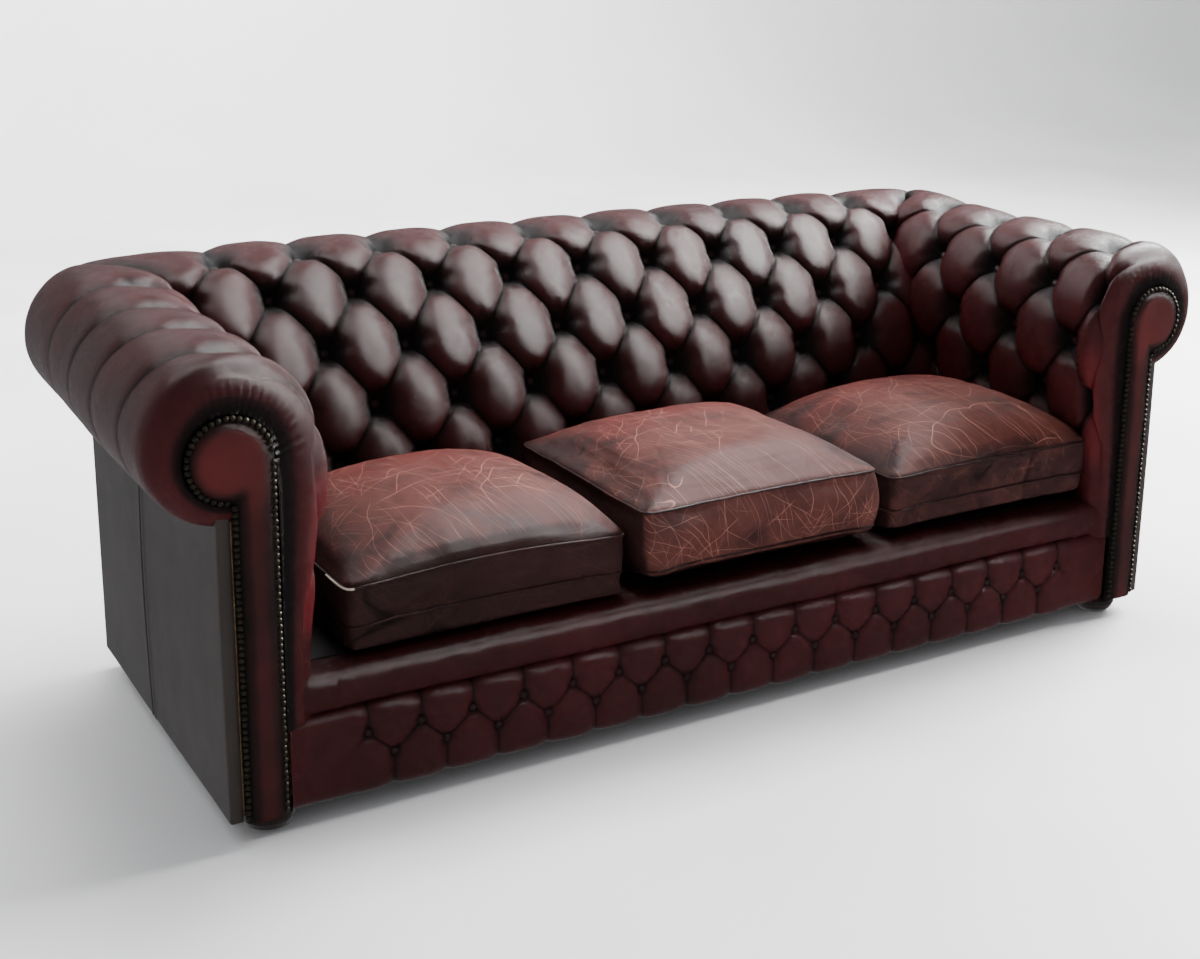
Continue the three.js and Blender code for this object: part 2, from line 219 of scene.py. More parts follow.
# %% [markdown]
# ## Deep buttoning
# A deep-buttoned cover is leather over thick stuffing, pulled down to the frame by a button at
# each point of a diamond grid. The spare leather is folded along the diagonals from button to
# button, so each diamond swells like a small pillow. Past the first and last row the folds run
# straight to the edge, as flutes.
#
# The two diagonal directions are used as coordinates `a` and `b`: buttons sit where both are
# whole numbers and folds where either is. In each cell the pillow is the square root of the
# product of two arches, which falls steeply to the folds, as tight leather does. Round each
# button the gathered leather makes a few small pleats.

# %% The buttoned surface
def cell_chance(a, b, seed):
    """A number from 0 to 1 for each cell, the same each run: the fraction of a large sine."""
    wild = np.sin(np.floor(a) * 12.9898 + np.floor(b) * 78.233 + seed * 37.7) * 43758.5453
    return wild - np.floor(wild)


ROLL_POWER = 6.0                 # added to the arch power where the pillows get flatter
ROLL_RISE = 0.92                 # there the folds are nearly as high as the pillows
PLAIN_RISE = 0.80                # the height where the buttoning has died out
PLEATS = 7                       # small pleats round a button
PLEAT_REACH, PLEAT_WIDTH, PLEAT_RISE = 0.026, 0.015, 0.028


def buttoned(across, up, rows, pitch, row_step, fold_rise=0.60, pit_size=0.027,
             flute_rise=0.64, sag=0.12, seed=0, strength=1.0, arch=2.8, flat_from=9.0):
    """Height from 0 at a button to about 1 on a pillow, and how open the surface is.
    across counts buttons along a row, up counts rows and is held between the first and last
    of rows, which turns the diagonal folds into straight flutes. A higher arch power makes
    flatter pillows with narrower folds; past the row flat_from it grows and folds get shallow."""
    first_row, last_row = rows
    held = np.clip(up, first_row, last_row)
    a, b = across + held / 2, across - held / 2
    towards_a, towards_b = (2 * (t - np.floor(t)) - 1 for t in (a, b))
    lean = sag * smoothstep(0, 0.3, up - first_row) * smoothstep(0, 0.3, last_row - up)
    towards_a = towards_a + lean * (1 - towards_a ** 2)
    towards_b = towards_b - lean * (1 - towards_b ** 2)
    flatter = smoothstep(flat_from, flat_from + 1.9, up)
    power = arch + ROLL_POWER * flatter
    arch_a, arch_b = (1 - np.abs(t) ** power for t in (towards_a, towards_b))
    pillow = np.clip(arch_a * arch_b, 0, None) ** 0.50
    size = 0.93 + 0.14 * cell_chance(a + 1e-6, b + 1e-6, seed)
    step_a, step_b = (t - np.floor(t + 0.5) for t in (a, b))
    reach_across = (step_a + step_b) / 2 * pitch
    reach_up = (step_a - step_b + up - held) * row_step
    reach = np.hypot(reach_across, reach_up)
    pit = np.exp(-(reach / pit_size) ** 2)
    past = smoothstep(0, 0.7, up - last_row) + smoothstep(0, 0.8, first_row - up)
    rise = fold_rise + (flute_rise - fold_rise) * np.clip(past, 0, 1)
    rise = rise + (ROLL_RISE - rise) * flatter
    turn = np.arctan2(reach_up, reach_across)
    pleats = (np.cos(PLEATS * turn + 9 * size)
              * np.exp(-((reach - PLEAT_REACH) / PLEAT_WIDTH) ** 2))
    height = rise * (1 - pit) + (1 - rise) * pillow * size + PLEAT_RISE * pleats * pillow
    height = height * strength + PLAIN_RISE * (1 - strength)
    # openness is low in the folds and pits; the leathers darken their colour there as painted
    # shade
    openness = np.clip(pillow ** 0.36 - 0.85 * pit, 0, 1) * strength + 1 - strength
    return height, openness


BUTTON_PITCH = 0.155             # from button to button along a row of the back
ARM_PITCH = 0.160
ROW_STEP = 0.105                 # from row to row
print("pillow top", round(float(buttoned(0.5, 1.0, (0, 3), BUTTON_PITCH, ROW_STEP)[0]), 2))

# %% [markdown]
# A fold only looks sharp if mesh edges lie along it. The grid is cut so that one column and
# one row step move exactly along a diagonal, and each grid cell is split into two triangles
# along whichever diagonal is nearest to a fold.

# %% Triangles that follow the folds
CELLS = 34                       # grid steps from one button to the next along a row


def folded_triangles(rows, columns, diagonal, start=0):
    """Two triangles a cell. diagonal (rows - 1, columns - 1) is True where the cell is split
    from its first corner to the one across."""
    index = start + np.arange(rows * columns).reshape(rows, columns)
    p, q, r, s = index[:-1, :-1], index[:-1, 1:], index[1:, 1:], index[1:, :-1]
    one = np.where(diagonal[..., None], np.stack([p, q, r], -1), np.stack([p, q, s], -1))
    two = np.where(diagonal[..., None], np.stack([p, r, s], -1), np.stack([q, r, s], -1))
    return np.concatenate([one.reshape(-1, 3), two.reshape(-1, 3)])


def split_choice(across, up, rows):
    """True where the rising diagonal is nearer to a fold than the falling one, judged at the
    middle of each cell."""
    up_middle, across_middle = ((g[:-1, :-1] + g[1:, 1:]) / 2 for g in (up, across))
    held = np.clip(up_middle, *rows)
    a, b = across_middle + held / 2, across_middle - held / 2
    return np.abs(b - np.round(b)) < np.abs(a - np.round(a))


def row_levels(marks, walked_end, cells=CELLS, outer_step=0.0068):
    """Distances along the profile for every mesh row: even steps of two cells in CELLS between
    button rows, and even steps before the first and after the last."""
    between = [np.linspace(lo, hi, cells // 2, endpoint=False)
               for lo, hi in zip(marks[:-1], marks[1:])]
    before = np.linspace(0, marks[0], max(2, int(marks[0] / outer_step)), endpoint=False)
    rest = walked_end - marks[-1]
    after = np.linspace(marks[-1], walked_end, max(2, int(rest / outer_step)))
    return np.concatenate([before, *between, after])


def profile_frame(path, walked, levels, sink=0.0):
    """Points and left-hand normals of the profile at the given distances, sunk along the
    normals."""
    at = np.stack([np.interp(levels, walked, path[:, k]) for k in (0, 1)], 1)
    slope = np.gradient(path, walked, axis=0)
    way = np.stack([np.interp(levels, walked, slope[:, k]) for k in (0, 1)], 1)
    way /= np.linalg.norm(way, axis=1, keepdims=True)
    out = np.stack([-way[:, 1], way[:, 0]], 1)
    return at - out * sink, out


def nearest_level(path, walked, point):
    """The distance along the profile of the path's point nearest to the given one."""
    return float(walked[np.argmin(np.linalg.norm(path - np.asarray(point), axis=1))])


def circle_points(centre, radius, first, last, count=24):
    """Points on a circle, angles in degrees from the outward direction."""
    turn = np.radians(np.linspace(first, last, count))
    return np.stack([centre[0] + radius * np.cos(turn), centre[1] + radius * np.sin(turn)], 1)


print("grid step about", round(1000 * BUTTON_PITCH / CELLS, 1), "mm")

# %% [markdown]
# ## Places taken from the frame
# The rolls, the outside panels and the seat all have their place in the frame's solids, so the
# numbers that every cover needs are read from those boxes once.

# %% Places
DEEP = 0.014                     # how far the buttons are drawn below the profile
PUFF = 0.030 + DEEP              # how far a pillow stands above its buttons

_, back_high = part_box("cover_back")
_, arm_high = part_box("cover_arm_right")
side_low, side_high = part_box("outside_arm_right")
facing_low, facing_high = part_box("facing_right")
lip_low, lip_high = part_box("front_lip")
border_low, border_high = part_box("front_border")

BACK_R, ARM_R = 0.137, 0.130     # the rolls, measured over their pillows
BASE_IN = 0.018                  # a roll's profile lies this far inside its outer radius
back_base_r, arm_base_r = BACK_R - BASE_IN, ARM_R - BASE_IN
back_centre = np.array([back_high.y - BACK_R, back_high.z - BACK_R])
arm_centre = np.array([arm_high.x - ARM_R, arm_high.z - ARM_R])
DISC_Z = 0.588                   # height of the middle of the facing's round head
DISC_R = facing_high.z - DISC_Z
disc_centre = np.array([arm_centre[0], facing_high.z - DISC_R])
print("back roll centre", back_centre.round(3), "arm roll centre", arm_centre.round(3))

# %% [markdown]
# ## The back
# The back is one buttoned hide over a roll. From the seat it rises, leans back and goes over
# the roll to its underside. The shape is that profile carried along the sofa, with each point
# pushed out by the buttoned height. Five button rows sit on it, numbered from -1 to 3: one
# behind the seat cushions, two on the face, one under the front of the roll and one on top,
# from which the flutes run over to the back.

# %% Back profile
def rolled_profile(face, centre, radius, first, last, window=0.06):
    """The path up the face, then round the roll from the first angle down to the last."""
    return smooth_path(np.vstack([face, circle_points(centre, radius, first, last)]), window)


BACK_FACE = [(0.078, 0.205), (0.070, 0.290), (0.073, 0.385), (0.092, 0.480), (0.131, 0.574)]
BACK_BUTTONS = [(0.073, 0.378), (0.092, 0.480), (0.131, 0.574),
                *circle_points(back_centre, back_base_r, 154, 111, 2)]
back_path, back_walked = rolled_profile(BACK_FACE, back_centre, back_base_r, 158, -97)
back_marks = [nearest_level(back_path, back_walked, p) for p in BACK_BUTTONS]
print("button rows at", [round(m, 3) for m in back_marks], "of", round(back_walked[-1], 3))

# %% [markdown]
# At each end the back meets an arm. Low down the two faces pass through each other, which
# leaves the tight inner corner. On the rolls they meet in a mitre at 45 degrees, and past the
# roll's crown the mitre is rounded like a turned corner: a point at distance `o` from both
# roll lines moves onto a circle of that radius round the crossing of the two lines.

# %% Corner helpers
ROLL_X, ROLL_Y = float(arm_centre[0]), float(back_centre[0])


def round_corner(x, y):
    """Outside the crossing of the roll lines, a square ring of half-width o becomes a circle
    of radius o, with the angle growing evenly along each side of the square."""
    dx, dy = x - ROLL_X, y - ROLL_Y
    outer = (dx > 0) & (dy > 0)
    o = np.maximum(np.maximum(dx, dy), 1e-9)
    turn = np.where(dy >= dx, math.pi / 2 - math.pi / 4 * dx / o, math.pi / 4 * dy / o)
    return (np.where(outer, ROLL_X + o * np.cos(turn), x),
            np.where(outer, ROLL_Y + o * np.sin(turn), y))


print("rolls cross at", round(ROLL_X, 3), round(ROLL_Y, 3))

# %% [markdown]
# The back's mesh columns stand one pitch apart from button to button. Only the last pitch at
# each end changes its length from row to row, so that the edge follows the mitre. The stuffing
# gets thinner towards the corner, where back and arm press on each other, and both covers lose
# height in the same way there, so that their edges meet.

# %% Back cover
ROWS = (-1, 3)                   # the numbers of the lowest and highest button row
FLAT_FROM = 3.9                  # past this row the flutes get flatter
END_BUTTON, BACK_END = 4.5, 5.5  # in pitches from the sofa's middle
PAST_STEP = 0.10                 # a row's height above the last row and below the first
GRAIN_SWELL = 0.0004             # fine unevenness of the stuffing


def corner_loss(up, roll=0.20, outer=0.24, rear=0.17):
    """The share of the stuffing's height that is missing where back and arm meet: some on
    the roll, more on its outer side, and some for the tight corner."""
    return (roll * smoothstep(2.2, 3.2, up) + outer * smoothstep(3.3, 4.6, up)
            + rear * smoothstep(2.4, 3.4, up))


def rows_of(marks, levels):
    """The row number of each level: whole at each mark, and on past both ends in even steps."""
    up = np.interp(levels, marks, np.arange(ROWS[0], ROWS[1] + 1))
    up = np.where(levels < marks[0], ROWS[0] + (levels - marks[0]) / PAST_STEP, up)
    return np.where(levels > marks[-1], ROWS[1] + (levels - marks[-1]) / PAST_STEP, up)


def back_surface():
    """Rows follow the profile from seat to roll underside, columns run along the sofa. Each
    point is its profile point, moved along the profile's normal by the buttoned height."""
    reach = int(BACK_END * CELLS)
    across = np.arange(-reach, reach + 1) / CELLS
    levels = row_levels(back_marks, back_walked[-1])
    base, out = profile_frame(back_path, back_walked, levels, DEEP)
    up = rows_of(back_marks, levels)
    across, up = np.meshgrid(across, up)
    height, openness = buttoned(across, up, ROWS, BUTTON_PITCH, ROW_STEP, seed=1,
                                flat_from=FLAT_FROM)
    low_roll = 0.27 * smoothstep(2.4, 3.6, up)
    near_end = smoothstep(4.0, BACK_END, np.abs(across))
    height = height * PUFF * (1 - low_roll * (1 - near_end) - corner_loss(up) * near_end)
    height = height + GRAIN_SWELL * openness * ripple(across * BUTTON_PITCH, base[:, :1],
                                                      base[:, 1:], 110, 5)
    y = base[:, :1] + out[:, :1] * height
    z = base[:, 1:] + out[:, 1:] * height
    natural = BACK_END * BUTTON_PITCH
    end_x = natural + (ROLL_X + y - ROLL_Y - natural) * smoothstep(2.2, 3.0, up)
    past = np.clip(np.abs(across) - END_BUTTON, 0, 1)
    held = np.minimum(np.abs(across), END_BUTTON) * BUTTON_PITCH
    x = np.sign(across) * (held + past * (end_x - END_BUTTON * BUTTON_PITCH))
    x = x + 0.004 * ripple(x, base[:, :1], base[:, 1:], scale=8, seed=3) * (1 - past)
    x_round, y_round = round_corner(np.abs(x), y)
    front = np.stack([np.sign(x) * x_round, y_round, z], -1)
    return front, openness, across, up, base, out


def inner_rows(front, out, picked, wall):
    """Points that lie a wall's thickness behind the picked rows of the front."""
    inner = front[picked].copy()
    inner[..., 1] -= out[picked, None, 0] * wall
    inner[..., 2] -= out[picked, None, 1] * wall
    return inner


def closed_cover(front, inner, diagonal):
    """Each column is a closed ring: the front rows, then the inner rows back to the start.
    Returns the points and faces, with one many-sided face to close each end."""
    rows, columns = front.shape[:2]
    points = np.concatenate([front, inner])
    total = len(points)
    index = np.arange(total * columns).reshape(total, columns)
    behind = np.concatenate([index[rows - 1:], index[:1]])
    quads = np.stack([behind[:-1, :-1], behind[:-1, 1:], behind[1:, 1:], behind[1:, :-1]],
                     -1).reshape(-1, 4)
    faces = [*folded_triangles(rows, columns, diagonal).tolist(), *quads.tolist(),
             index[::-1, 0].tolist(), index[:, -1].tolist()]
    return points.reshape(-1, 3), faces


def with_inner(values, inner):
    """Marks for the front grid, with zeros for the inner rows."""
    return np.concatenate([values, np.zeros(inner.shape[:2])]).ravel()


def inner_picks(front, count=9):
    """Row numbers from the last to the first, evenly spread, for a cover's inner rows."""
    return np.linspace(len(front) - 1, 0, count).astype(int)


def build_back(wall=0.035):
    """The surface of back_surface, closed behind by a wall of this thickness."""
    front, openness, across, up, base, out = back_surface()
    picked = inner_picks(front)
    inner = inner_rows(front, out, picked, wall)
    points, faces = closed_cover(front, inner, split_choice(across, up, ROWS))
    length = np.concatenate([base[:, 1], base[picked, 1]])
    uv = np.stack([points[:, 0], np.repeat(length, front.shape[1])], 1)
    return make_piece("back_cover", points, faces, "oxblood_leather", uv=uv,
                      marks={"open": with_inner(openness, inner)}, replaces=("cover_back",))


back_cover = build_back()
print("back cover", len(back_cover.data.polygons), "faces")

# %% [markdown]
# ## The arms
# An arm is buttoned like the back, over a smaller roll. Behind, its roll grows a little so that
# it meets the back's at the mitre. In front the buttoning dies out, and the hide turns round
# the end of the roll and is gathered in to the edge of a narrow flat panel, the facing. That
# turn is a squared quarter ellipse from the side of the arm to the edge of the facing.

# %% Arm profile
ARM_FACE = [(0.812, 0.166), (0.812, 0.250), (0.806, 0.320), (0.796, 0.380), (0.785, 0.440),
            (0.773, 0.510), (0.771, 0.545), (0.777, 0.600), (0.790, 0.652)]
ARM_BUTTONS = [(0.803, 0.338), (0.785, 0.440), (0.771, 0.545), (0.785, 0.645),
               (0.872, 0.714)]
arm_path, arm_walked = rolled_profile(ARM_FACE, arm_centre, arm_base_r, 145, -96)
corner_centre = np.array([ROLL_X, back_centre[1]])
joint_path, joint_walked = rolled_profile(ARM_FACE[:-1], corner_centre, back_base_r, 158, -96)
arm_marks = [nearest_level(arm_path, arm_walked, p) for p in ARM_BUTTONS]
joint_marks = [nearest_level(joint_path, joint_walked, p) for p in ARM_BUTTONS]
print("arm rows at", [round(m, 3) for m in arm_marks], "of", round(arm_walked[-1], 3))

# %% Facing outline
FACING_IN = 0.832                # inner nailed edge of the facing
FACING_OUT = 0.898               # outer nailed edge of its straight part
FACING_FRONT = facing_low.y      # the padded front of the facing


def facing_edge(base, centre):
    """The point of the facing's edge that the hide at each base point is drawn in to: the
    inner edge at the same height, or the rim of the round top at the same angle."""
    turn = np.arctan2(base[:, 1] - centre[1], base[:, 0] - centre[0])
    rim = disc_centre + DISC_R * np.stack([np.cos(turn), np.sin(turn)], 1)
    side = np.stack([np.full(len(base), FACING_IN), base[:, 1]], 1)
    share = smoothstep(disc_centre[1] - 0.06, disc_centre[1] + 0.01, base[:, 1])[:, None]
    share = np.where(base[:, :1] > centre[0] - 0.03, 1.0, share)
    return side * (1 - share) + rim * share


print("facing radius", round(DISC_R, 3), "front", round(FACING_FRONT, 3))

# %% [markdown]
# An arm's surface has the same two coordinates as the back's. Its columns start one pitch
# behind the rearmost button, at the mitre, and end at the facing. At the mitre the arm has the
# back's larger roll, so its profile changes from that one to its own over the first two
# pitches.

# %% Arm covers
ARM_CELLS = 44                   # grid steps from one arm button to the next
LAST_ROW_Y = 0.295               # where the row count along an arm starts
TURN_START = 4.18                # in pitches: here the front end begins to turn in
TURN_LENGTH = 1.30
MITRE_PITCHES = 1.2              # the rounded corner lies within this many pitches
GATHERS = 46                     # small pleats a radian where the hide meets the facing
GATHER_DEPTH = 0.0008
HIDE_OVERLAP = 0.022             # the cover ends this far in front of the outside back hide


def blended_profile(levels, along):
    """Base points and normals for every row and column: the arm's own, changed smoothly to the
    joint's near the mitre. Also returns the arm's own, one a row."""
    joint_levels = np.interp(levels, [0, *arm_marks, arm_walked[-1]],
                             [0, *joint_marks, joint_walked[-1]])
    arm = profile_frame(arm_path, arm_walked, levels, DEEP)
    joint = profile_frame(joint_path, joint_walked, joint_levels, DEEP)
    to_joint = (1 - smoothstep(0.3, 1.9, along))[..., None]
    base, out = (a[:, None] * (1 - to_joint) + j[:, None] * to_joint
                 for a, j in zip(arm, joint))
    return base, out, *arm


def turn_in(side, y, turn, edge, seed):
    """The front end. As turn goes from 0 to 1, the distance from the facing's edge shrinks as
    a power of the cosine and y runs forward as a power of the sine, which makes a squared
    quarter ellipse. Small gathers ripple its last part."""
    keep = np.cos(turn * math.pi / 2) ** 0.62
    reach = np.sin(turn * math.pi / 2) ** 0.70
    start_y = LAST_ROW_Y - ARM_PITCH * TURN_START
    depth = start_y - (FACING_FRONT + 0.009)
    y = np.where(turn > 0, start_y - depth * reach, y)
    around = np.arctan2(side[..., 1] - arm_centre[1], side[..., 0] - arm_centre[0])
    gather = np.cos(around * GATHERS + 3 * ripple(around, 0 * around, scale=6, seed=seed + 2))
    gather = (gather * GATHER_DEPTH * smoothstep(0.55, 0.95, turn)
              * smoothstep(0.56, 0.62, side[..., 1]))
    return edge[:, None] + (side - edge[:, None]) * keep[..., None], y - gather


def arm_surface(seed):
    """Rows follow the profile, columns run from the mitre to the edge of the facing. Under
    the roll the rear end stops short of the hide that covers the sofa's back."""
    along = np.arange(0, int((TURN_START + TURN_LENGTH) * ARM_CELLS) + 1) / ARM_CELLS
    levels = row_levels(arm_marks, arm_walked[-1], cells=ARM_CELLS, outer_step=0.0055)
    up = rows_of(arm_marks, levels)
    along, up = np.meshgrid(along, up)
    base, out, arm_base, arm_out = blended_profile(levels, along)
    slant = 0.050 * smoothstep(3.0, 4.8, up) * (1 - smoothstep(5.0, 6.6, up))
    y = LAST_ROW_Y - ARM_PITCH * along
    y = y + slant * smoothstep(0.2, 3.5, along) * (1 - smoothstep(4.3, 5.0, along))
    across = along - 0.5
    calm = 1 - smoothstep(4.60, 5.02, along)
    flat_from = FLAT_FROM - 0.85 * smoothstep(0.1, 1.2, along)
    height, openness = buttoned(across, up, ROWS, ARM_PITCH, ROW_STEP, seed=seed,
                                strength=calm, flat_from=flat_from)
    lower = corner_loss(up, rear=0.17 * (1 - smoothstep(0.2, 2.6, along)))
    uneven = ripple(base[..., 0], y, base[..., 1], scale=110, seed=seed + 9)
    height = height * PUFF * (1 - lower) + GRAIN_SWELL * uneven
    side = base + out * height[..., None]
    behind = (ROLL_Y + side[..., 0] - ROLL_X - LAST_ROW_Y) * smoothstep(2.2, 3.0, up)
    y = y + behind * np.clip(1 - along, 0, 1)
    turn = np.clip((along - TURN_START) / TURN_LENGTH, 0, 1)
    # painted shade: the hide is darkened where it turns in towards the facing's nails
    openness = openness * (1 - 0.8 * smoothstep(0.78, 1.0, turn))
    place, y = turn_in(side, y, turn, facing_edge(arm_base, arm_centre), seed)
    outer_x, y_round = round_corner(place[..., 0], y)
    cornered = along < MITRE_PITCHES
    y = np.where(cornered, y_round, y)
    hide_y = side_high.y - HIDE_OVERLAP + 0.4 * smoothstep(1.6, 2.1, up)
    front = np.stack([np.where(cornered, outer_x, place[..., 0]),
                      np.minimum(y, hide_y), place[..., 1]], -1)
    return front, openness, across, up, arm_base, arm_out


def build_arm(name, side, seed, wall=0.030):
    """The right arm, or with side -1 its mirror image with other stuffing. The mark `rub` is
    highest along the upright inner edge of the front, where hands and clothes pass."""
    front, openness, across, up, base, out = arm_surface(seed)
    picked = inner_picks(front)
    inner = front[picked].copy()
    inner[..., 0] -= out[picked, None, 0] * wall
    inner[..., 2] -= out[picked, None, 1] * wall
    inner[..., 1] = np.maximum(inner[..., 1], FACING_FRONT + 0.035)
    points, faces = closed_cover(front, inner, split_choice(across, up, ROWS))
    length = np.concatenate([base[:, 1], base[picked, 1]])
    uv = np.stack([points[:, 1], np.repeat(length, front.shape[1])], 1)
    points = points * (side, 1, 1)
    node = "cover_arm_right" if side > 0 else "cover_arm_left"
    x, y, z = np.abs(points[:, 0]), points[:, 1], points[:, 2]
    rubbed_edge = (np.exp(-((y - FACING_FRONT - 0.026) / 0.012) ** 2) * (x < 0.80)
                   * smoothstep(0.26, 0.36, z) * (1 - smoothstep(0.50, 0.60, z)))
    return make_piece(name, points, faces, "oxblood_leather", uv=uv,
                      marks={"open": with_inner(openness, inner), "rub": rubbed_edge},
                      replaces=(node,))


ARM_SEEDS = (11, 23)             # right, left
arm_covers = [build_arm("arm_cover_right", 1, ARM_SEEDS[0]),
              build_arm("arm_cover_left", -1, ARM_SEEDS[1])]
print("arm covers", [len(a.data.polygons) for a in arm_covers], "faces")

# %% [markdown]
# ## Buttons
# Each button is a small domed mould covered in the same leather, pulled down to the bottom of
# its pit. One function turns a short profile round an axis at every button place, for leather
# buttons and metal nails alike, and joins them in one mesh.

# %% Studs
def studs(centres, normals, radius, profile, around):
    """Each profile point (share of the radius outwards, metres along the normal) is carried
    round the normal through each centre; the first and last points lie on the axis."""
    centres, normals = np.asarray(centres, float), np.asarray(normals, float)
    normals /= np.linalg.norm(normals, axis=1, keepdims=True)
    helper = np.where(np.abs(normals[:, 2:]) > 0.8, [[0.0, 1.0, 0.0]], [[0.0, 0.0, 1.0]])
    side = np.cross(helper, normals)
    side /= np.linalg.norm(side, axis=1, keepdims=True)
    other = np.cross(normals, side)
    turn = np.arange(around) / around * 2 * math.pi
    ring = (side[:, None] * np.cos(turn)[:, None] + other[:, None] * np.sin(turn)[:, None])
    middle = np.array(profile[1:-1])
    rings = (centres[:, None, None] + ring[:, None] * (middle[:, 0] * radius)[:, None, None]
             + normals[:, None, None] * middle[:, 1][:, None, None])
    tip = centres + normals * profile[0][1]
    root = centres + normals * profile[-1][1]
    count = len(middle) * around
    points = np.concatenate([rings.reshape(len(centres), count, 3), tip[:, None],
                             root[:, None]], 1)
    start = (np.arange(len(centres)) * (count + 2))[:, None, None]
    walls = (ring_quads(len(middle), around)[None] + start).reshape(-1, 4)
    first = np.arange(around)
    after = (first + 1) % around
    top = np.stack([np.full(around, count), after, first], 1)
    low = count - around
    base = np.stack([np.full(around, count + 1), low + first, low + after], 1)
    caps = (np.concatenate([top, base])[None] + start).reshape(-1, 3)
    return points.reshape(-1, 3), walls.tolist() + caps.tolist()


BUTTON_R = 0.0095
BUTTON_PROFILE = [(0, 0.0062), (0.40, 0.0058), (0.75, 0.0042), (0.95, 0.0018), (1.0, -0.0010),
                  (0.85, -0.0060), (0, -0.0065)]
BUTTON_SIDES = 14
print("one button has", BUTTON_SIDES * (len(BUTTON_PROFILE) - 1), "faces")

# %% Button places
def button_places(front, in_space, across, up, out, rows, counts_in):
    """Grid points where the row number is whole and the count across is a button's.
    counts_in(row) gives those counts, and in_space makes a profile normal a way in space."""
    centres, normals = [], []
    for row in rows:
        i = int(np.argmin(np.abs(up[:, 0] - row)))
        for count in counts_in(row):
            j = int(np.argmin(np.abs(across[i] - count)))
            centres.append(front[i, j])
            normals.append(in_space(out[i]))
    return np.array(centres), np.array(normals)


def scatter(normals, amount, seed):
    """The normals, each leaning a little in its own direction."""
    return normals + np.random.default_rng(seed).normal(0, amount, normals.shape)


def back_counts(row):
    """Counts along the back: halves in odd rows, whole numbers in even ones."""
    return np.arange(-4.5, 5) if row % 2 else np.arange(-4, 5)


def arm_counts(row):
    """Counts along an arm from its rear end: halves in odd rows, whole numbers in even ones."""
    return (0.5, 1.5, 2.5, 3.5) if row % 2 else (1, 2, 3, 4)


button_rows = range(ROWS[0], ROWS[1] + 1)
front, _, across, up, _, out = back_surface()
button_sets = {"back_buttons": (*button_places(front, lambda n: (0, n[0], n[1]), across, up,
                                               out, button_rows, back_counts), 31)}
for name, side, arm_seed, seed in (("arm_buttons_right", 1, ARM_SEEDS[0], 32),
                                   ("arm_buttons_left", -1, ARM_SEEDS[1], 33)):
    front, _, across, up, _, out = arm_surface(arm_seed)
    at, way = button_places(front, lambda n: (n[0], 0, n[1]), across, up, out, button_rows,
                            arm_counts)
    button_sets[name] = (at * (side, 1, 1), way * (side, 1, 1), seed)
for name, (at, way, seed) in button_sets.items():
    points, faces = studs(at + 0.0015 * way, scatter(way, 0.10, seed), BUTTON_R,
                          BUTTON_PROFILE, BUTTON_SIDES)
    make_piece(name, points, faces, "button_leather")
    print(name, len(at), "buttons")

# %% [markdown]
# ## Facings and nails
# A facing is the flat padded panel that closes the front of an arm: a tall strip with a round
# head. Its surface is cut in level slices from the foot to the head. How far a point is from
# the edge decides how much it is puffed out, so it is flat in the middle and turned in at the
# rim, where close-set brass nails hold it.

# %% Facing
FACING_ROUND = 0.026             # the padding is rounded off over this depth from the edge
FACING_PUFF = 0.0105
FACING_WALL = 0.020


def facing_depth(x, z):
    """Distance in from the edge: the larger of the distance to the strip's sides and the
    distance to the rim of the round head."""
    strip = np.minimum(np.minimum(x - FACING_IN, FACING_OUT - x), disc_centre[1] - z + 0.02)
    head = DISC_R - np.hypot(x - disc_centre[0], z - disc_centre[1])
    return np.maximum(strip, head)


def build_facing(name, side, node, seed):
    """Level slices: below the head they run between the straight edges, in the head between
    the two sides of the circle. Front and back are joined round the edge."""
    foot = facing_low.z
    turn = np.linspace(0, math.pi, 64)
    head = disc_centre[1] - DISC_R * np.cos(turn)
    levels = np.concatenate([np.linspace(foot, head[0], 90, endpoint=False), head])
    half = np.sqrt(np.clip(DISC_R ** 2 - (levels - disc_centre[1]) ** 2, 0, None))
    in_head = levels > disc_centre[1]
    left = np.where(in_head, disc_centre[0] - half, FACING_IN)
    right = np.where(levels > head[0], disc_centre[0] + half, FACING_OUT)
    right = np.maximum(right, np.where(in_head, disc_centre[0], FACING_OUT))
    share = (1 - np.cos(np.linspace(0, math.pi, 25))) / 2
    x = left[:, None] + (right - left)[:, None] * share
    z = np.repeat(levels[:, None], len(share), 1)
    depth = np.clip(facing_depth(x, z), 0, FACING_ROUND)
    puff = 1 - (1 - depth / FACING_ROUND) ** 2.4
    y = FACING_FRONT + FACING_PUFF * (1 - puff) + 0.0006 * ripple(x, z, 0, 60, seed)
    front = np.stack([x, y, z], -1)
    rear = np.stack([x, np.full_like(y, FACING_FRONT + FACING_WALL), z], -1)
    points, faces = slab(front, rear)
    # painted shade: the open mark falls to zero at the rim, where the padding turns in to the
    # nails, so the leather darkens there; below the head it tops out lower, so the strip is
    # darker than the head
    in_head = smoothstep(-0.10, -0.02, z - disc_centre[1])
    fullness = depth / FACING_ROUND * (0.66 + 0.34 * in_head)
    marks = {"open": np.concatenate([fullness.ravel(), np.zeros(z.size)])}
    return make_piece(name, points * (side, 1, 1), faces, "facing_leather", marks=marks,
                      replaces=(node,))


facings = [build_facing("facing_panel_right", 1, "facing_right", 41),
           build_facing("facing_panel_left", -1, "facing_left", 42)]
print("facings", [len(f.data.polygons) for f in facings])

# %% Nails
NAIL_PITCH = 0.0099
NAIL_R = 0.0048
NAIL_INSET = 0.0030              # nail middles lie this far inside the facing's edge
NAIL_SIDES = 9
NAIL_PROFILE = [(0, 0.0030), (0.62, 0.0024), (1.0, 0.0004), (0.95, -0.0012), (0, -0.0014)]


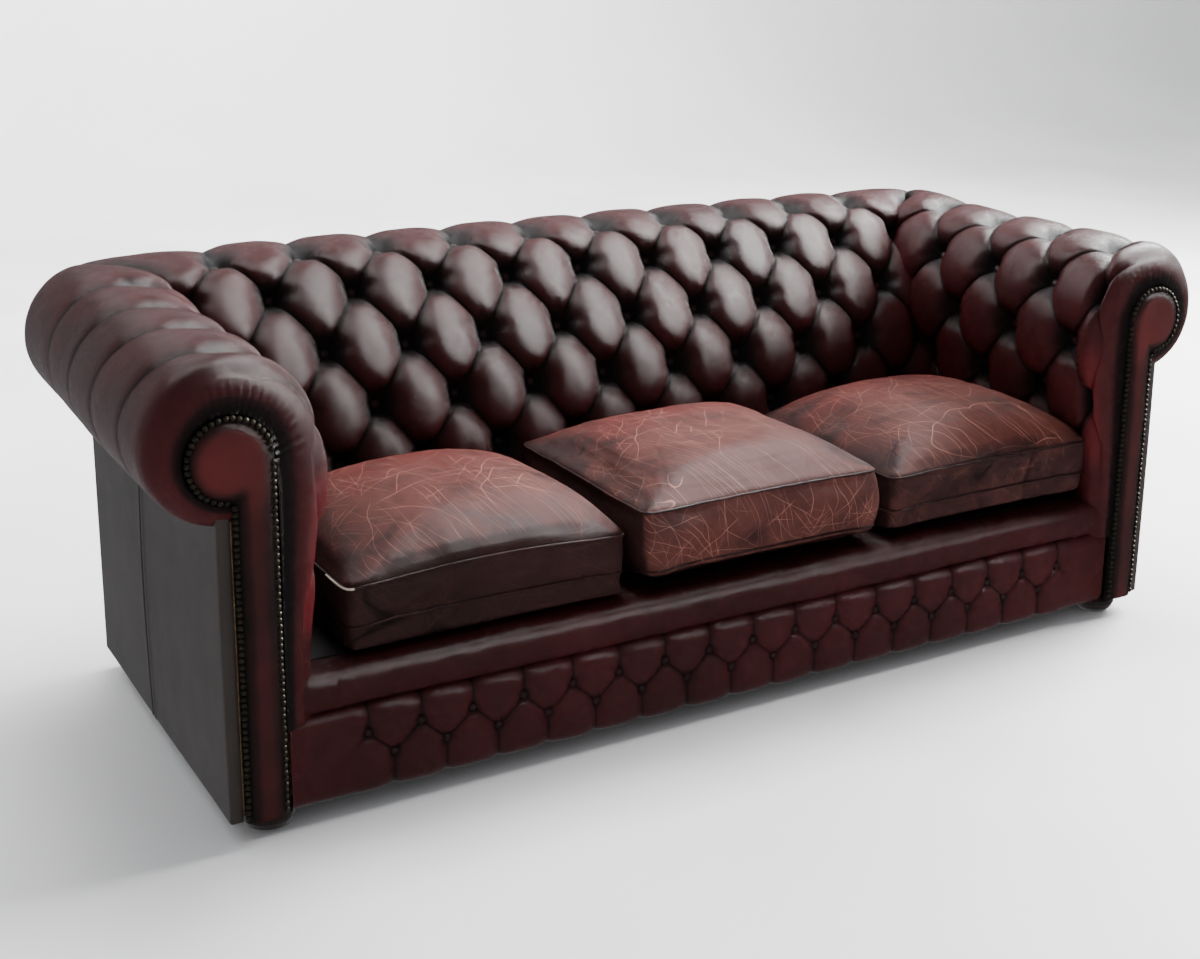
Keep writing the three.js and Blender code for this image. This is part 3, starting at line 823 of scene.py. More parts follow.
def nail_line():
    """Nails up the inner edge, round the head, and down the outer edge, evenly spaced. Returns
    their (x, z) places and the way out of the facing at each."""
    ring = DISC_R - NAIL_INSET
    last = -math.acos((FACING_OUT - NAIL_INSET - disc_centre[0]) / ring)
    turn = np.linspace(math.pi, last, int(ring * (math.pi - last) / NAIL_PITCH) + 1)[1:-1]
    lowest = facing_low.z + 0.008
    rise = np.arange(lowest, disc_centre[1], NAIL_PITCH)
    drop = np.arange(lowest, disc_centre[1] - ring + 0.002, NAIL_PITCH)[::-1]
    round_head = np.stack([np.cos(turn), np.sin(turn)], 1)
    places = np.concatenate([np.stack([np.full(len(rise), disc_centre[0] - ring), rise], 1),
                             disc_centre + ring * round_head,
                             np.stack([np.full(len(drop), FACING_OUT - NAIL_INSET), drop], 1)])
    ways = np.concatenate([np.tile([-1.0, 0.0], (len(rise), 1)), round_head,
                           np.tile([1.0, 0.0], (len(drop), 1))])
    return places, ways


for name, side, seed in (("facing_nails_right", 1, 51), ("facing_nails_left", -1, 52)):
    rng = np.random.default_rng(seed)
    line, outwards = nail_line()
    line = line + rng.normal(0, 0.0003, line.shape)
    at = np.stack([line[:, 0] * side, np.full(len(line), FACING_FRONT + 0.0058), line[:, 1]], 1)
    way = np.stack([outwards[:, 0] * side * 0.5, -np.ones(len(at)), outwards[:, 1] * 0.5], 1)
    way = scatter(way, 0.08, seed + 1)
    points, faces = studs(at, way, NAIL_R, NAIL_PROFILE, NAIL_SIDES)
    make_piece(name, points, faces, "nail_brass")
    print(name, len(at), "nails")

# %% [markdown]
# ## Outside panels
# The flat hides on the outside of the arms and back are stretched over webbing and hang from
# under the roll. Each is a thin strip whose plan is a short path, carried up the height. It
# bellies out a little, with a narrow groove where two hides are sewn together.

# %% Outside panels
HIDE_WALL = 0.008
SEAM_WIDTH, SEAM_DEPTH = 0.0028, 0.0030
HEM = 0.0012                     # the turned-under hem at the foot


def hanging_panel(name, plan, low_z, high_z, slot, node, seams=(), belly=0.005, seed=0):
    """The plan path (x, y) is walked in equal steps; every level repeats it. The belly swells
    as sine times sine, a seam is a narrow groove, and the hem is turned under."""
    path, walked = smooth_path(plan, 0.006, 0.0025)
    picked = np.unique(np.concatenate([np.arange(0, len(path), 2), [len(path) - 1]]))
    path, walked = path[picked], walked[picked]
    way = np.gradient(path, walked, axis=0)
    way /= np.linalg.norm(way, axis=1, keepdims=True)
    out = np.stack([way[:, 1], -way[:, 0]], 1)
    levels = np.concatenate([[low_z], low_z + HEM + (high_z - low_z - HEM)
                             * np.linspace(0, 1, 110)])
    along, z = np.meshgrid(walked, levels)
    share = (along - walked[0]) / (walked[-1] - walked[0])
    rise = (z - low_z) / (high_z - low_z)
    share_swell = np.sin(math.pi * np.clip(share, 0, 1)) ** 0.6
    swell = belly * share_swell * np.sin(math.pi * rise) ** 0.8
    swell = swell + 0.0016 * ripple(along, z, 0, 13, seed) * np.sin(math.pi * share)
    seam_line = np.zeros_like(along)
    for seam in seams:
        gap = np.abs(along - seam)
        seam_line = np.maximum(seam_line, np.exp(-(gap / SEAM_WIDTH) ** 2))
        swell = swell + 0.0018 * np.exp(-((gap - 0.007) / 0.005) ** 2)
    swell = swell - SEAM_DEPTH * seam_line
    swell[0] -= 0.002
    front, rear = (np.stack([path[:, 0] + out[:, 0] * push, path[:, 1] + out[:, 1] * push, z],
                            -1) for push in (swell, np.full_like(z, -HIDE_WALL)))
    points, faces = slab(front, rear)
    # painted shade: the seam groove gets a low open value, so the leather darkens it
    marks = {"open": np.concatenate([1 - seam_line.ravel(), np.zeros(z.size)])}
    return make_piece(name, points, faces, slot, marks=marks, replaces=(node,))


SEAM_FROM_FRONT = 0.415          # along the plan, from the facing
side_top = arm_centre[1] - 0.098
inner_x = FACING_OUT + 0.003
right_plan = [(inner_x, side_low.y), (side_high.x, side_low.y), (side_high.x, side_high.y)]
mirror_plan = [(-x, y) for x, y in right_plan[::-1]]
length = side_high.x - inner_x + side_high.y - side_low.y
hanging_panel("outside_arm_hide_right", right_plan, side_low.z, side_top, "panel_leather",
              "outside_arm_right", seams=(SEAM_FROM_FRONT,), seed=61)
hanging_panel("outside_arm_hide_left", mirror_plan, side_low.z, side_top, "panel_leather",
              "outside_arm_left", seams=(length - SEAM_FROM_FRONT,), seed=62)
out_low, out_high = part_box("outside_back")
width = out_high.x - out_low.x
hanging_panel("outside_back_hide", [(out_high.x, out_high.y), (out_low.x, out_high.y)],
              out_low.z, back_centre[1] - 0.108, "panel_leather", "outside_back",
              seams=(width / 3, width * 2 / 3), seed=63)
print("side panel", round(length, 3), "m round")

# %% [markdown]
# ## Front border and lip
# Under the seat the front has two parts. The upper one is a plain padded roll, the lip, which
# the cushions overhang. The lower one is a long buttoned border with two rows of small buttons,
# folds in a zigzag between them, and short pleats out to its top and bottom edges. The border
# uses the same buttoned height as the back, at a smaller pitch.

# %% Front border
BORDER_PITCH = 0.088
BORDER_CELLS = 24
BORDER_ROWS = (0, 1)
BORDER_ROW_STEP = 0.040
BORDER_PUFF = 0.0100
BORDER_BUTTON_R = 0.0068
plain_end = 8 * BORDER_PITCH     # past the last button the border is plain
border_path, border_walked = smooth_path(
    [(border_low.y + 0.034, border_low.z), (border_low.y + 0.013, border_low.z + 0.001),
     (border_low.y + 0.010, border_low.z + 0.010), (border_low.y + 0.010, border_high.z - 0.014),
     (border_low.y + 0.016, border_high.z - 0.003), (border_low.y + 0.034, border_high.z)],
    0.010, 0.0006)
border_marks = [nearest_level(border_path, border_walked, (border_low.y + 0.010,
                                                           border_low.z + rise))
                for rise in (0.0515, 0.0910)]


def border_surface():
    """Rows follow the border's upright profile, columns run along the sofa. The height is the
    buttoned one, less towards the top and bottom edges."""
    reach = int(border_high.x / BORDER_PITCH * BORDER_CELLS)
    across = np.arange(-reach, reach + 1) / BORDER_CELLS
    levels = row_levels(border_marks, border_walked[-1], cells=BORDER_CELLS, outer_step=0.0030)
    base, out = profile_frame(border_path, border_walked, levels)
    up = np.interp(levels, border_marks, BORDER_ROWS)
    below, above = ((levels - mark) / BORDER_ROW_STEP for mark in border_marks)
    up = np.where(below < 0, below, up)
    up = np.where(above > 0, 1 + above, up)
    across, up = np.meshgrid(across, up)
    x = across * BORDER_PITCH
    calm = 1 - smoothstep(plain_end + 0.004, plain_end + 0.030, np.abs(x))
    height, openness = buttoned(across + 0.5, up, BORDER_ROWS, BORDER_PITCH, BORDER_ROW_STEP,
                                fold_rise=0.52, pit_size=0.0100, flute_rise=0.48, sag=0.0,
                                seed=7, strength=calm, arch=3.6)
    edge = smoothstep(0, 0.020, levels) * smoothstep(0, 0.020, levels[-1] - levels)
    height = height * BORDER_PUFF * (0.35 + 0.65 * edge[:, None])
    height = height + 0.0006 * ripple(x, base[:, 1:], 0, 90, 8)
    y = base[:, :1] + out[:, :1] * height
    z = base[:, 1:] + out[:, 1:] * height
    x = x + 0.0025 * ripple(x, z, 0, 14, 9) * calm
    # painted shade: the border's folds and pits are darkened through the open mark, kept above
    # 0.45 so the shade stays light
    return np.stack([x, y, z], -1), 0.45 + 0.55 * openness, across, up, out


front, openness, across, up, out = border_surface()
inner = front[inner_picks(front, 5)].copy()
inner[..., 1] = np.maximum(inner[..., 1] + 0.010, border_low.y + 0.030)
points, faces = closed_cover(front, inner, split_choice(across + 0.5, up, BORDER_ROWS))
make_piece("front_border_cover", points, faces, "oxblood_leather",
           marks={"open": with_inner(openness, inner)}, replaces=("front_border",))
centres, normals = button_places(front, lambda n: (0, n[0], n[1]), across, up, out,
                                 BORDER_ROWS,
                                 lambda row: np.arange(-8, 9) if row else np.arange(-7.5, 8))
flat_profile = [(r, h * 0.62) for r, h in BUTTON_PROFILE]
points, faces = studs(centres + 0.0026 * normals, scatter(normals, 0.08, 71),
                      BORDER_BUTTON_R, flat_profile, 12)
make_piece("border_buttons", points, faces, "button_leather")
print("border", len(across[0]), "columns,", len(centres), "buttons")

# %% Seat lip
def build_lip():
    """A soft D-shaped profile (y, z) carried along the sofa; long shallow waves and small
    creases that run round the roll are added along its normals."""
    low, high = lip_low, lip_high
    path, walked = smooth_path(
        [(low.y + 0.042, low.z + 0.001), (low.y + 0.008, low.z + 0.002),
         (low.y + 0.002, low.z + 0.018), (low.y + 0.001, low.z + 0.044),
         (low.y + 0.010, high.z - 0.004), (low.y + 0.042, high.z), (low.y + 0.100, high.z)],
        0.018, 0.001)
    levels = np.linspace(0, walked[-1], 70)
    base, out = profile_frame(path, walked, levels)
    x = np.linspace(low.x, high.x, 420)
    x, z = np.meshgrid(x, base[:, 1])
    crease = np.abs(ripple(x * 60, z * 12, 0, 1, 14))
    creased = smoothstep(0.02, 0.3, ripple(x, z, 0, 6, 15))
    swell = (0.0022 * ripple(x, z, 0, 9, 12) + 0.0009 * ripple(x * 2.2, z, 0, 40, 13)
             - 0.0012 * np.exp(-(crease / 0.10) ** 2) * creased)
    fade = smoothstep(0, 0.020, levels) * smoothstep(0, 0.03, levels[-1] - levels)
    swell = swell * fade[:, None]
    front = np.stack([x, base[:, :1] + out[:, :1] * swell, base[:, 1:] + out[:, 1:] * swell],
                     -1)
    inner = front[inner_picks(front, 5)].copy()
    inner[..., 1] = low.y + np.array([0.100, 0.080, 0.050, 0.042, 0.042])[:, None]
    inner[..., 2] = high.z - np.array([0.010, 0.010, 0.014, 0.040, 0.064])[:, None]
    points, faces = closed_cover(front, inner, np.ones((len(x) - 1, x.shape[1] - 1), bool))
    return make_piece("seat_lip", points, faces, "oxblood_leather",
                      marks={"open": with_inner(0.8 + 0 * x, inner)}, replaces=("front_lip",))


seat_lip = build_lip()
print("lip", len(seat_lip.data.polygons), "faces")

# %% [markdown]
# ## Seat cushions
# Three loose cushions lie on the deck. Each is a boxed case: a top panel that domes over the
# filling, upright sides and a flat bottom. The form starts as closed rings, is remeshed into
# even squares, and is then blown up a little as cloth, so that the leather between the seams
# swells like a filled case. Where it rests on the deck and lip it stays flat.

# %% Cushion forms
CASE_POWER = 22                  # how square the outline of a cushion is


def squircle(turn, power=CASE_POWER):
    """The point at this angle on the curve where |s|^power + |t|^power is 1."""
    c, s = np.cos(turn), np.sin(turn)
    size = (np.abs(c) ** power + np.abs(s) ** power) ** (-1 / power)
    return c * size, s * size


def cushion_rings(low, high, edge_z, lift, bulge, arch, lean, around=240):
    """Rings from the middle of the bottom out, up the side and in over the top. The plan is
    a squared circle whose sides pull in between the corners; the top rises as a dome."""
    turn = (np.arange(around) + 0.5) / around * 2 * math.pi
    s, t = squircle(turn)
    pull = 1 - 0.012 * (1 - np.minimum(np.abs(s), np.abs(t)) ** 2)
    inward = np.linspace(0.04, 1, 20)
    bottom = [(r, 0.0, 0.0) for r in inward]
    side = [(1.0, h, math.sin(math.pi * h)) for h in np.linspace(0, 1, 18)[1:-1]]
    top = [(r, 1.0, 0.0) for r in inward[::-1]]
    share, climb, swell = np.array(bottom + side + top).T[:, :, None]
    x = s * pull * share * (1 + 2 * bulge * swell / (high.x - low.x))
    y = t * pull * share * (1 + 2 * bulge * swell / (high.y - low.y))
    dome = (1 - np.abs(s * share) ** 2.6) ** 0.80 * (1 - np.abs(t * share) ** 3.2) ** 0.62
    dome = dome * (1 - 0.10 * t * share)
    front = smoothstep(0.1, 1.0, -t * share)
    base_z = low.z + lift * front ** 2
    edge = edge_z + arch * (1 - (s * share) ** 2) * front ** 4
    x = x + lean * climb / ((high.x - low.x) / 2)
    z = base_z + (edge - base_z) * climb + np.where(climb >= 1, (high.z - edge_z) * dome, 0)
    points = np.stack([(low.x + high.x) / 2 + x * (high.x - low.x) / 2,
                       (low.y + high.y) / 2 + y * (high.y - low.y) / 2, z], -1)
    return points


def closed_rings(points):
    """Rings joined by quads, with one many-sided face at each end."""
    rings, around = points.shape[:2]
    faces = ring_quads(rings, around).tolist()
    return points.reshape(-1, 3), faces + [list(range(around))[::-1],
                                           list(range((rings - 1) * around, rings * around))]


EVEN_ROUNDS = 14                 # rounds of averaging over neighbouring points


def swell_as_cloth(piece, most, voxel, pressure=4.0, frames=20):
    """Remeshes the piece into even squares, runs it as cloth under pressure without gravity,
    and keeps the result, evened out so that it swells without buckling, with no point moved
    further than most(point) allows."""
    remesh = piece.modifiers.new("even", "REMESH")
    remesh.mode = "VOXEL"
    remesh.voxel_size = voxel
    apply_modifier(piece, remesh)
    start = mesh_points(piece)
    cloth = piece.modifiers.new("fill", "CLOTH")
    settings = cloth.settings
    settings.quality = 5
    settings.mass = 0.4
    settings.tension_stiffness = 25
    settings.compression_stiffness = 25
    settings.bending_stiffness = 2
    settings.use_pressure = True
    settings.uniform_pressure_force = pressure
    settings.effector_weights.gravity = 0
    cloth.collision_settings.use_collision = False
    for step in range(1, frames + 1):
        bpy.context.scene.frame_set(step)
    shown = piece.evaluated_get(bpy.context.evaluated_depsgraph_get())
    ended = np.empty(len(shown.data.vertices) * 3)
    shown.data.vertices.foreach_get("co", ended)
    moved = even_out(piece, ended.reshape(-1, 3) - start, EVEN_ROUNDS)
    far = np.linalg.norm(moved, axis=1, keepdims=True)
    piece.modifiers.remove(cloth)
    bpy.context.scene.frame_set(1)
    most = most(start)[:, None]
    set_points(piece, start + moved * np.minimum(1, most / np.maximum(far, 1e-9)))
    print(piece.name, "moved up to", round(float(far.max()) * 1000), "mm, kept to",
          round(float(most.max()) * 1000))


def even_out(piece, values, rounds):
    """Each round gives every point the mean of its own value and its neighbours' values."""
    ends = np.empty(len(piece.data.edges) * 2, np.int64)
    piece.data.edges.foreach_get("vertices", ends)
    one, two = ends.reshape(-1, 2).T
    count = 1 + np.bincount(ends, minlength=len(values))[:, None]
    for _ in range(rounds):
        total = values.copy()
        np.add.at(total, one, values[two])
        np.add.at(total, two, values[one])
        values = total / count
    return values


def apply_modifier(piece, modifier):
    """The modifier's result becomes the piece's own mesh."""
    shown = piece.evaluated_get(bpy.context.evaluated_depsgraph_get())
    mesh = bpy.data.meshes.new_from_object(shown)
    piece.modifiers.remove(modifier)
    old = piece.data
    piece.data = mesh
    bpy.data.meshes.remove(old)


def mesh_points(piece):
    """The piece's points, an array (n, 3)."""
    places = np.empty(len(piece.data.vertices) * 3)
    piece.data.vertices.foreach_get("co", places)
    return places.reshape(-1, 3)


def mesh_normals(piece):
    """The way out at each point."""
    ways = np.empty(len(piece.data.vertices) * 3)
    piece.data.vertices.foreach_get("normal", ways)
    return ways.reshape(-1, 3)


def set_points(piece, points):
    """Moves all the piece's points to new places."""
    piece.data.vertices.foreach_set("co", np.asarray(points, float).ravel())
    piece.data.update()


print("cushion helpers ready")

# %% [markdown]
# Years of sitting have stretched the top panels, so they carry soft folds that run in from the
# front seam, and fine creases everywhere. After the cloth step these are pressed into the mesh
# along its normals: broad folds as slow waves, creases as narrow valleys where a wave is near
# zero. The same step writes how worn each point is, and where the fine creases get painted
# shade, for the leather to read later.

# %% Folds, wear, painted highlight and painted crease shade of the cushions
CUSHIONS = {     # seam height, front lift, side bulge, seam arch, lean of the top, crown, seed
    "left": (0.349, 0.008, 0.002, 0.013, 0.000, 0.016, 81),
    "middle": (0.388, 0.030, 0.008, 0.002, -0.010, 0.000, 82),
    "right": (0.358, 0.018, 0.002, 0.004, 0.004, 0.014, 83),
}
SLACK = 0.006                    # the form starts this much smaller than the filled case
VOXEL = 0.0075                   # size of the even squares that the cloth is made of
LEAST_MOVE, MOST_MOVE = 0.004, 0.014    # how far the cloth may move a point, seam and panel
MARGIN = 0.005                   # how far leather may stand out of the frame's box
LEAN_ROOM = 0.008                # and how much further to the left, where a cushion leans
# worn colour on each front face: real wear on the middle cushion, a painted highlight on the
# right one, little on the left
FRONT_WEAR_AND_SHEEN = {"left": 0.10, "middle": 0.84, "right": 0.50}


def wrinkle_cushion(piece, low, high, front_wear_and_sheen, seed):
    """Moves points along their normals by folds and creases, and writes three marks: `wear`,
    highest on the sat-on middle of the top and raised on the front faces, `open`, low in the
    creases, where the leather gets painted shade, and `back_share`, which rises towards the back
    of the top."""
    p, n = mesh_points(piece), mesh_normals(piece)
    s = (p[:, 0] - (low.x + high.x) / 2) / ((high.x - low.x) / 2)
    t = (p[:, 1] - (low.y + high.y) / 2) / ((high.y - low.y) / 2)
    top = smoothstep(0.25, 0.75, n[:, 2])
    facing_front = smoothstep(0.3, 0.8, -n[:, 1])
    bottom = smoothstep(0.5, 0.9, -n[:, 2])
    fan = s + 0.35 * ripple(p[:, 0], p[:, 1], 0, 9, seed)
    folds = ripple(fan * 9, t * 1.6, 0, 1.0, seed + 1)
    near_front = smoothstep(0.35, -0.85, t)
    cross = ripple(p[:, 0], p[:, 1], p[:, 2], 16, seed + 2)
    crease_a = np.abs(ripple(fan * 12, t * 3.5, 0, 1.0, seed + 3))
    crease_b = np.abs(ripple(p[:, 0], p[:, 1], p[:, 2], 34, seed + 4))
    patch = smoothstep(-0.1, 0.5, ripple(p[:, 0], p[:, 1], p[:, 2], 7, seed + 5))
    fine = ripple(p[:, 0], p[:, 1], p[:, 2], 150, seed + 6)
    move = top * (0.0007 * folds * near_front + 0.0016 * cross
                  - 0.0005 * np.exp(-(crease_a / 0.07) ** 2) * near_front
                  - 0.0006 * np.exp(-(crease_b / 0.06) ** 2) * patch)
    move = move + facing_front * (0.0010 * cross
                                  - 0.0008 * np.exp(-(crease_b / 0.07) ** 2) * patch)
    move = move + 0.00030 * fine * (1 - bottom)
    moved = p + n * move[:, None]
    moved[:, 2] = np.maximum(moved[:, 2], low.z + 0.0005)
    set_points(piece, moved)
    middle = (1 - np.abs(s) ** 4) * (1 - np.clip(np.abs(t - 0.05), 0, 1) ** 5)
    # the front faces' share is real wear on the middle cushion and a painted highlight on the
    # right one
    wear = top * (0.45 + 0.55 * np.clip(middle, 0, 1)) + front_wear_and_sheen * facing_front
    wear = wear * (1 - bottom)
    # painted shade: the fine creases get a low open value, so the leather darkens them
    opened = 1 - 0.7 * np.exp(-(crease_b / 0.06) ** 2) * patch
    back_share = smoothstep(-0.5, 0.7, t) * top
    for mark, values in (("wear", wear), ("open", opened), ("back_share", back_share)):
        attribute = piece.data.attributes.new(mark, "FLOAT", "POINT")
        attribute.data.foreach_set("value", values.astype(np.float32))


def build_cushion(which, edge_z, lift, bulge, arch, lean, crown, seed):
    """The closed case, a little smaller than the frame's box, swollen, kept near the box,
    made finer and wrinkled."""
    low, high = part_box("cushion_" + which)
    inset = Vector((SLACK, SLACK, 0))
    small_low, small_high = low + inset, high - inset + Vector((0, 0, crown - SLACK))
    rings = cushion_rings(small_low, small_high, edge_z - SLACK * 0.5, lift, bulge, arch, lean)
    points, faces = closed_rings(rings)
    piece = make_piece("seat_cushion_" + which, points, faces, "seat_leather",
                       replaces=("cushion_" + which,))

    def most(p):
        """How far a point may move: little at the seam round the top, more on the panels."""
        s = np.abs(p[:, 0] - (low.x + high.x) / 2) / ((high.x - low.x) / 2)
        t = np.abs(p[:, 1] - (low.y + high.y) / 2) / ((high.y - low.y) / 2)
        rim = smoothstep(0.80, 0.97, np.maximum(s, t))
        seam = np.exp(-((p[:, 2] - edge_z) / 0.022) ** 2)
        free = (1 - rim * seam) * smoothstep(0, 0.04, p[:, 2] - low.z)
        return LEAST_MOVE + (MOST_MOVE - LEAST_MOVE) * free

    swell_as_cloth(piece, most, VOXEL)
    inside = np.clip(mesh_points(piece), np.array(low) - (MARGIN + LEAN_ROOM, MARGIN, 0),
                     np.array(high) + (MARGIN, 0, crown + MARGIN))
    set_points(piece, inside)
    finer = piece.modifiers.new("finer", "SUBSURF")
    finer.levels = finer.render_levels = 1
    apply_modifier(piece, finer)
    wrinkle_cushion(piece, low, high, FRONT_WEAR_AND_SHEEN[which], seed)
    piece.data.polygons.foreach_set("use_smooth", [True] * len(piece.data.polygons))
    print(piece.name, "size", tuple(round(v, 3) for v in piece.dimensions))
    return piece


cushions = {which: build_cushion(which, *spec) for which, spec in CUSHIONS.items()}

# %% [markdown]
# The cases are piped: a cord wrapped in leather is sewn into the seam round the top panel, and
# another lower down where the boxing joins. Each welt is a thin tube that follows the nearest
# point of the swollen surface, half sunk in it. At one corner of the left cushion the leather
# of the piping has worn away and the pale cord inside shows.

# %% Welts
def tube(path, normals, radius, around=8, closed=True):
    """A circle of the given radius is carried along the path, in the plane of each point's
    normal and the direction across it."""
    path, normals = np.asarray(path, float), np.asarray(normals, float)
    if closed:
        way = np.roll(path, -1, axis=0) - np.roll(path, 1, axis=0)
    else:
        way = np.gradient(path, axis=0)
    way /= np.linalg.norm(way, axis=1, keepdims=True)
    normals = normals - way * np.einsum("ij,ij->i", normals, way)[:, None]
    normals /= np.linalg.norm(normals, axis=1, keepdims=True)
    across = np.cross(way, normals)
    turn = np.arange(around) / around * 2 * math.pi
    points = (path[:, None] + radius * (normals[:, None] * np.cos(turn)[:, None]
                                        + across[:, None] * np.sin(turn)[:, None]))
    index = np.arange(len(path) * around).reshape(-1, around)
    if closed:
        index = np.concatenate([index, index[:1]])
    after = np.roll(index, -1, axis=1)
    faces = np.stack([index[:-1], after[:-1], after[1:], index[1:]], -1).reshape(-1, 4).tolist()
    if not closed:
        faces += [index[0, ::-1].tolist(), index[-1].tolist()]
    return points.reshape(-1, 3), faces


def onto_surface(piece, points, rise):
    """The nearest surface points and normals, both smoothed along the loop by a running mean.
    The points are then moved along the normals by rise."""
    tree = BVHTree.FromObject(piece, bpy.context.evaluated_depsgraph_get())
    hits = [tree.find_nearest(Vector(p)) for p in points]
    at = np.array([h[0] for h in hits])
    way = np.array([h[1] for h in hits])
    for _ in range(3):
        way = (np.roll(way, 1, 0) + 2 * way + np.roll(way, -1, 0)) / 4
        at = (np.roll(at, 1, 0) + 2 * at + np.roll(at, -1, 0)) / 4
    way /= np.linalg.norm(way, axis=1, keepdims=True)
    return at + way * rise, way


def case_loop(which, share, count=420):
    """The squared outline of the case at this share of the height from bottom to seam."""
    low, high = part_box("cushion_" + which)
    edge_z, lift, _, arch, lean, _, _ = CUSHIONS[which]
    turn = (np.arange(count) + 0.5) / count * 2 * math.pi
    s, t = squircle(turn)
    front = smoothstep(0.1, 1.0, -t)
    base = low.z + lift * front ** 2
    z = base + (edge_z + arch * (1 - s ** 2) * front ** 4 - base) * share
    return np.stack([(low.x + high.x) / 2 + s * (high.x - low.x) / 2 + lean * share,
                     (low.y + high.y) / 2 + t * (high.y - low.y) / 2, z], 1)


WELT_R, CORD_R = 0.0023, 0.0016
for which, share in (("left", 0.36), ("middle", 0.05), ("right", 0.36)):
    for name, height in (("top", 1.0), ("low", share)):
        path, way = onto_surface(cushions[which], case_loop(which, height), 0.0006)
        points, faces = tube(path, way, WELT_R)
        make_piece(f"cushion_{which}_{name}_welt", points, faces, "seat_leather",
                   marks={"wear": np.full(len(points), 0.30),
                          "open": np.full(len(points), 0.8)})

path, way = onto_surface(cushions["left"], case_loop("left", 1.0), 0.0030)
bare = (path[:, 0] < path[:, 0].min() + 0.016) & (path[:, 1] < path[:, 1].min() + 0.085)
points, faces = tube(path[bare], way[bare], CORD_R, closed=False)
make_piece("bare_piping_cord", points, faces, "seam_thread")
print("welts on", len(cushions), "cushions, bare cord of", int(bare.sum()), "steps")

# %% [markdown]
# ## Finishes
# Each finish is a node material. Effects that several finishes share are node groups: leather
# grain, uneven dye with painted shade in the folds and with wear, pale scuff lines, wood grain
# and cloth weave. A group only hands over masks, colours and heights; the shader itself stays in
# the material.

# %% Node helpers
class Nodes:
    """Adds nodes to a tree and links them; a plain number or colour is set on the socket."""

    def __init__(self, tree):
        self.tree = tree
        self.count = 0

    def add(self, kind, values=None, **settings):
        """A new node; values go to its sockets, settings to its own properties."""
        node = self.tree.nodes.new(kind)
        node.location = (200 * (self.count % 8), -220 * (self.count // 8))
        self.count += 1
        for key, value in settings.items():
            setattr(node, key, value)
        for key, value in (values or {}).items():
            self.feed(node, key, value)
        return node

    def feed(self, node, key, value):
        """Links a socket or node to this input, or sets a plain value on it."""
        socket = node.inputs[key]
        if isinstance(value, bpy.types.NodeSocket):
            self.tree.links.new(value, socket)
        elif isinstance(value, bpy.types.Node):
            self.tree.links.new(value.outputs[0], socket)
        else:
            socket.default_value = value

    def maths(self, operation, one, two=0.0, three=0.0, clamp=False):
        """A Math node on up to three values."""
        return self.add("ShaderNodeMath", {0: one, 1: two, 2: three}, operation=operation,
                        use_clamp=clamp).outputs[0]

    def ramp(self, value, low, high, out_low=0.0, out_high=1.0):
        """A smooth step from low to high."""
        return self.add("ShaderNodeMapRange", {"Value": value, "From Min": low,
                                               "From Max": high, "To Min": out_low,
                                               "To Max": out_high},
                        interpolation_type="SMOOTHSTEP").outputs[0]

    def mix(self, share, one, two):
        """Colour one where share is 0, colour two where it is 1."""
        node = self.add("ShaderNodeMix", data_type="RGBA")
        self.feed(node, 0, share)
        self.feed(node, 6, one)
        self.feed(node, 7, two)
        return node.outputs[2]

    def noise(self, place, scale, detail=3.0, rough=0.55, output="Fac"):
        """Soft noise, scale lumps a metre."""
        return self.add("ShaderNodeTexNoise", {"Vector": place, "Scale": scale,
                                               "Detail": detail, "Roughness": rough}
                        ).outputs[output]

    def scaled(self, place, size, turn=(0, 0, 0)):
        """The place, stretched and turned, for a pattern that runs its own way."""
        return self.add("ShaderNodeMapping", {"Vector": place, "Scale": size,
                                              "Rotation": turn}).outputs[0]


def group(name, inputs, outputs):
    """A new node group with float, colour or vector sockets; returns it with its ends."""
    kinds = {"f": "NodeSocketFloat", "c": "NodeSocketColor", "v": "NodeSocketVector"}
    tree = bpy.data.node_groups.new(name, "ShaderNodeTree")
    for label, kind in inputs:
        tree.interface.new_socket(label, in_out="INPUT", socket_type=kinds[kind])
    for label, kind in outputs:
        tree.interface.new_socket(label, in_out="OUTPUT", socket_type=kinds[kind])
    nodes = Nodes(tree)
    return tree, nodes, nodes.add("NodeGroupInput"), nodes.add("NodeGroupOutput")


print("node helpers ready")

# %% Shared effects
def make_grain():
    """Leather grain: small cells with sunk borders, crossed by longer fine wrinkles. Both are
    bent by the square of a noise, which draws them out unevenly. The height is the distance
    to the nearest cell border, plus noise of two sizes."""
    tree, n, given, made = group("leather_grain", [("Place", "v"), ("Cells", "f"),
                                                   ("Wrinkle", "f")],
                                 [("Height", "f"), ("Pores", "f")])
    place = given.outputs["Place"]
    wobble = n.noise(place, 60, 2, output="Color")
    bent = n.add("ShaderNodeVectorMath", {0: wobble, 1: wobble, 2: place},
                 operation="MULTIPLY_ADD")
    cells = n.add("ShaderNodeTexVoronoi", {"Vector": bent, "Scale": given.outputs["Cells"]},
                  feature="DISTANCE_TO_EDGE").outputs["Distance"]
    pores = n.ramp(cells, 0.0, 0.16)
    lines = n.maths("ABSOLUTE", n.maths("SUBTRACT", n.noise(bent, 75, 4, 0.6), 0.5))
    lines = n.ramp(lines, 0.0, 0.045)
    soft = n.noise(place, 22, 3)
    height = n.maths("MULTIPLY_ADD", pores, 0.30, n.maths("MULTIPLY", soft, 0.5))
    height = n.maths("MULTIPLY_ADD", lines, given.outputs["Wrinkle"], height)
    n.feed(made, "Height", height)
    n.feed(made, "Pores", pores)
    return tree


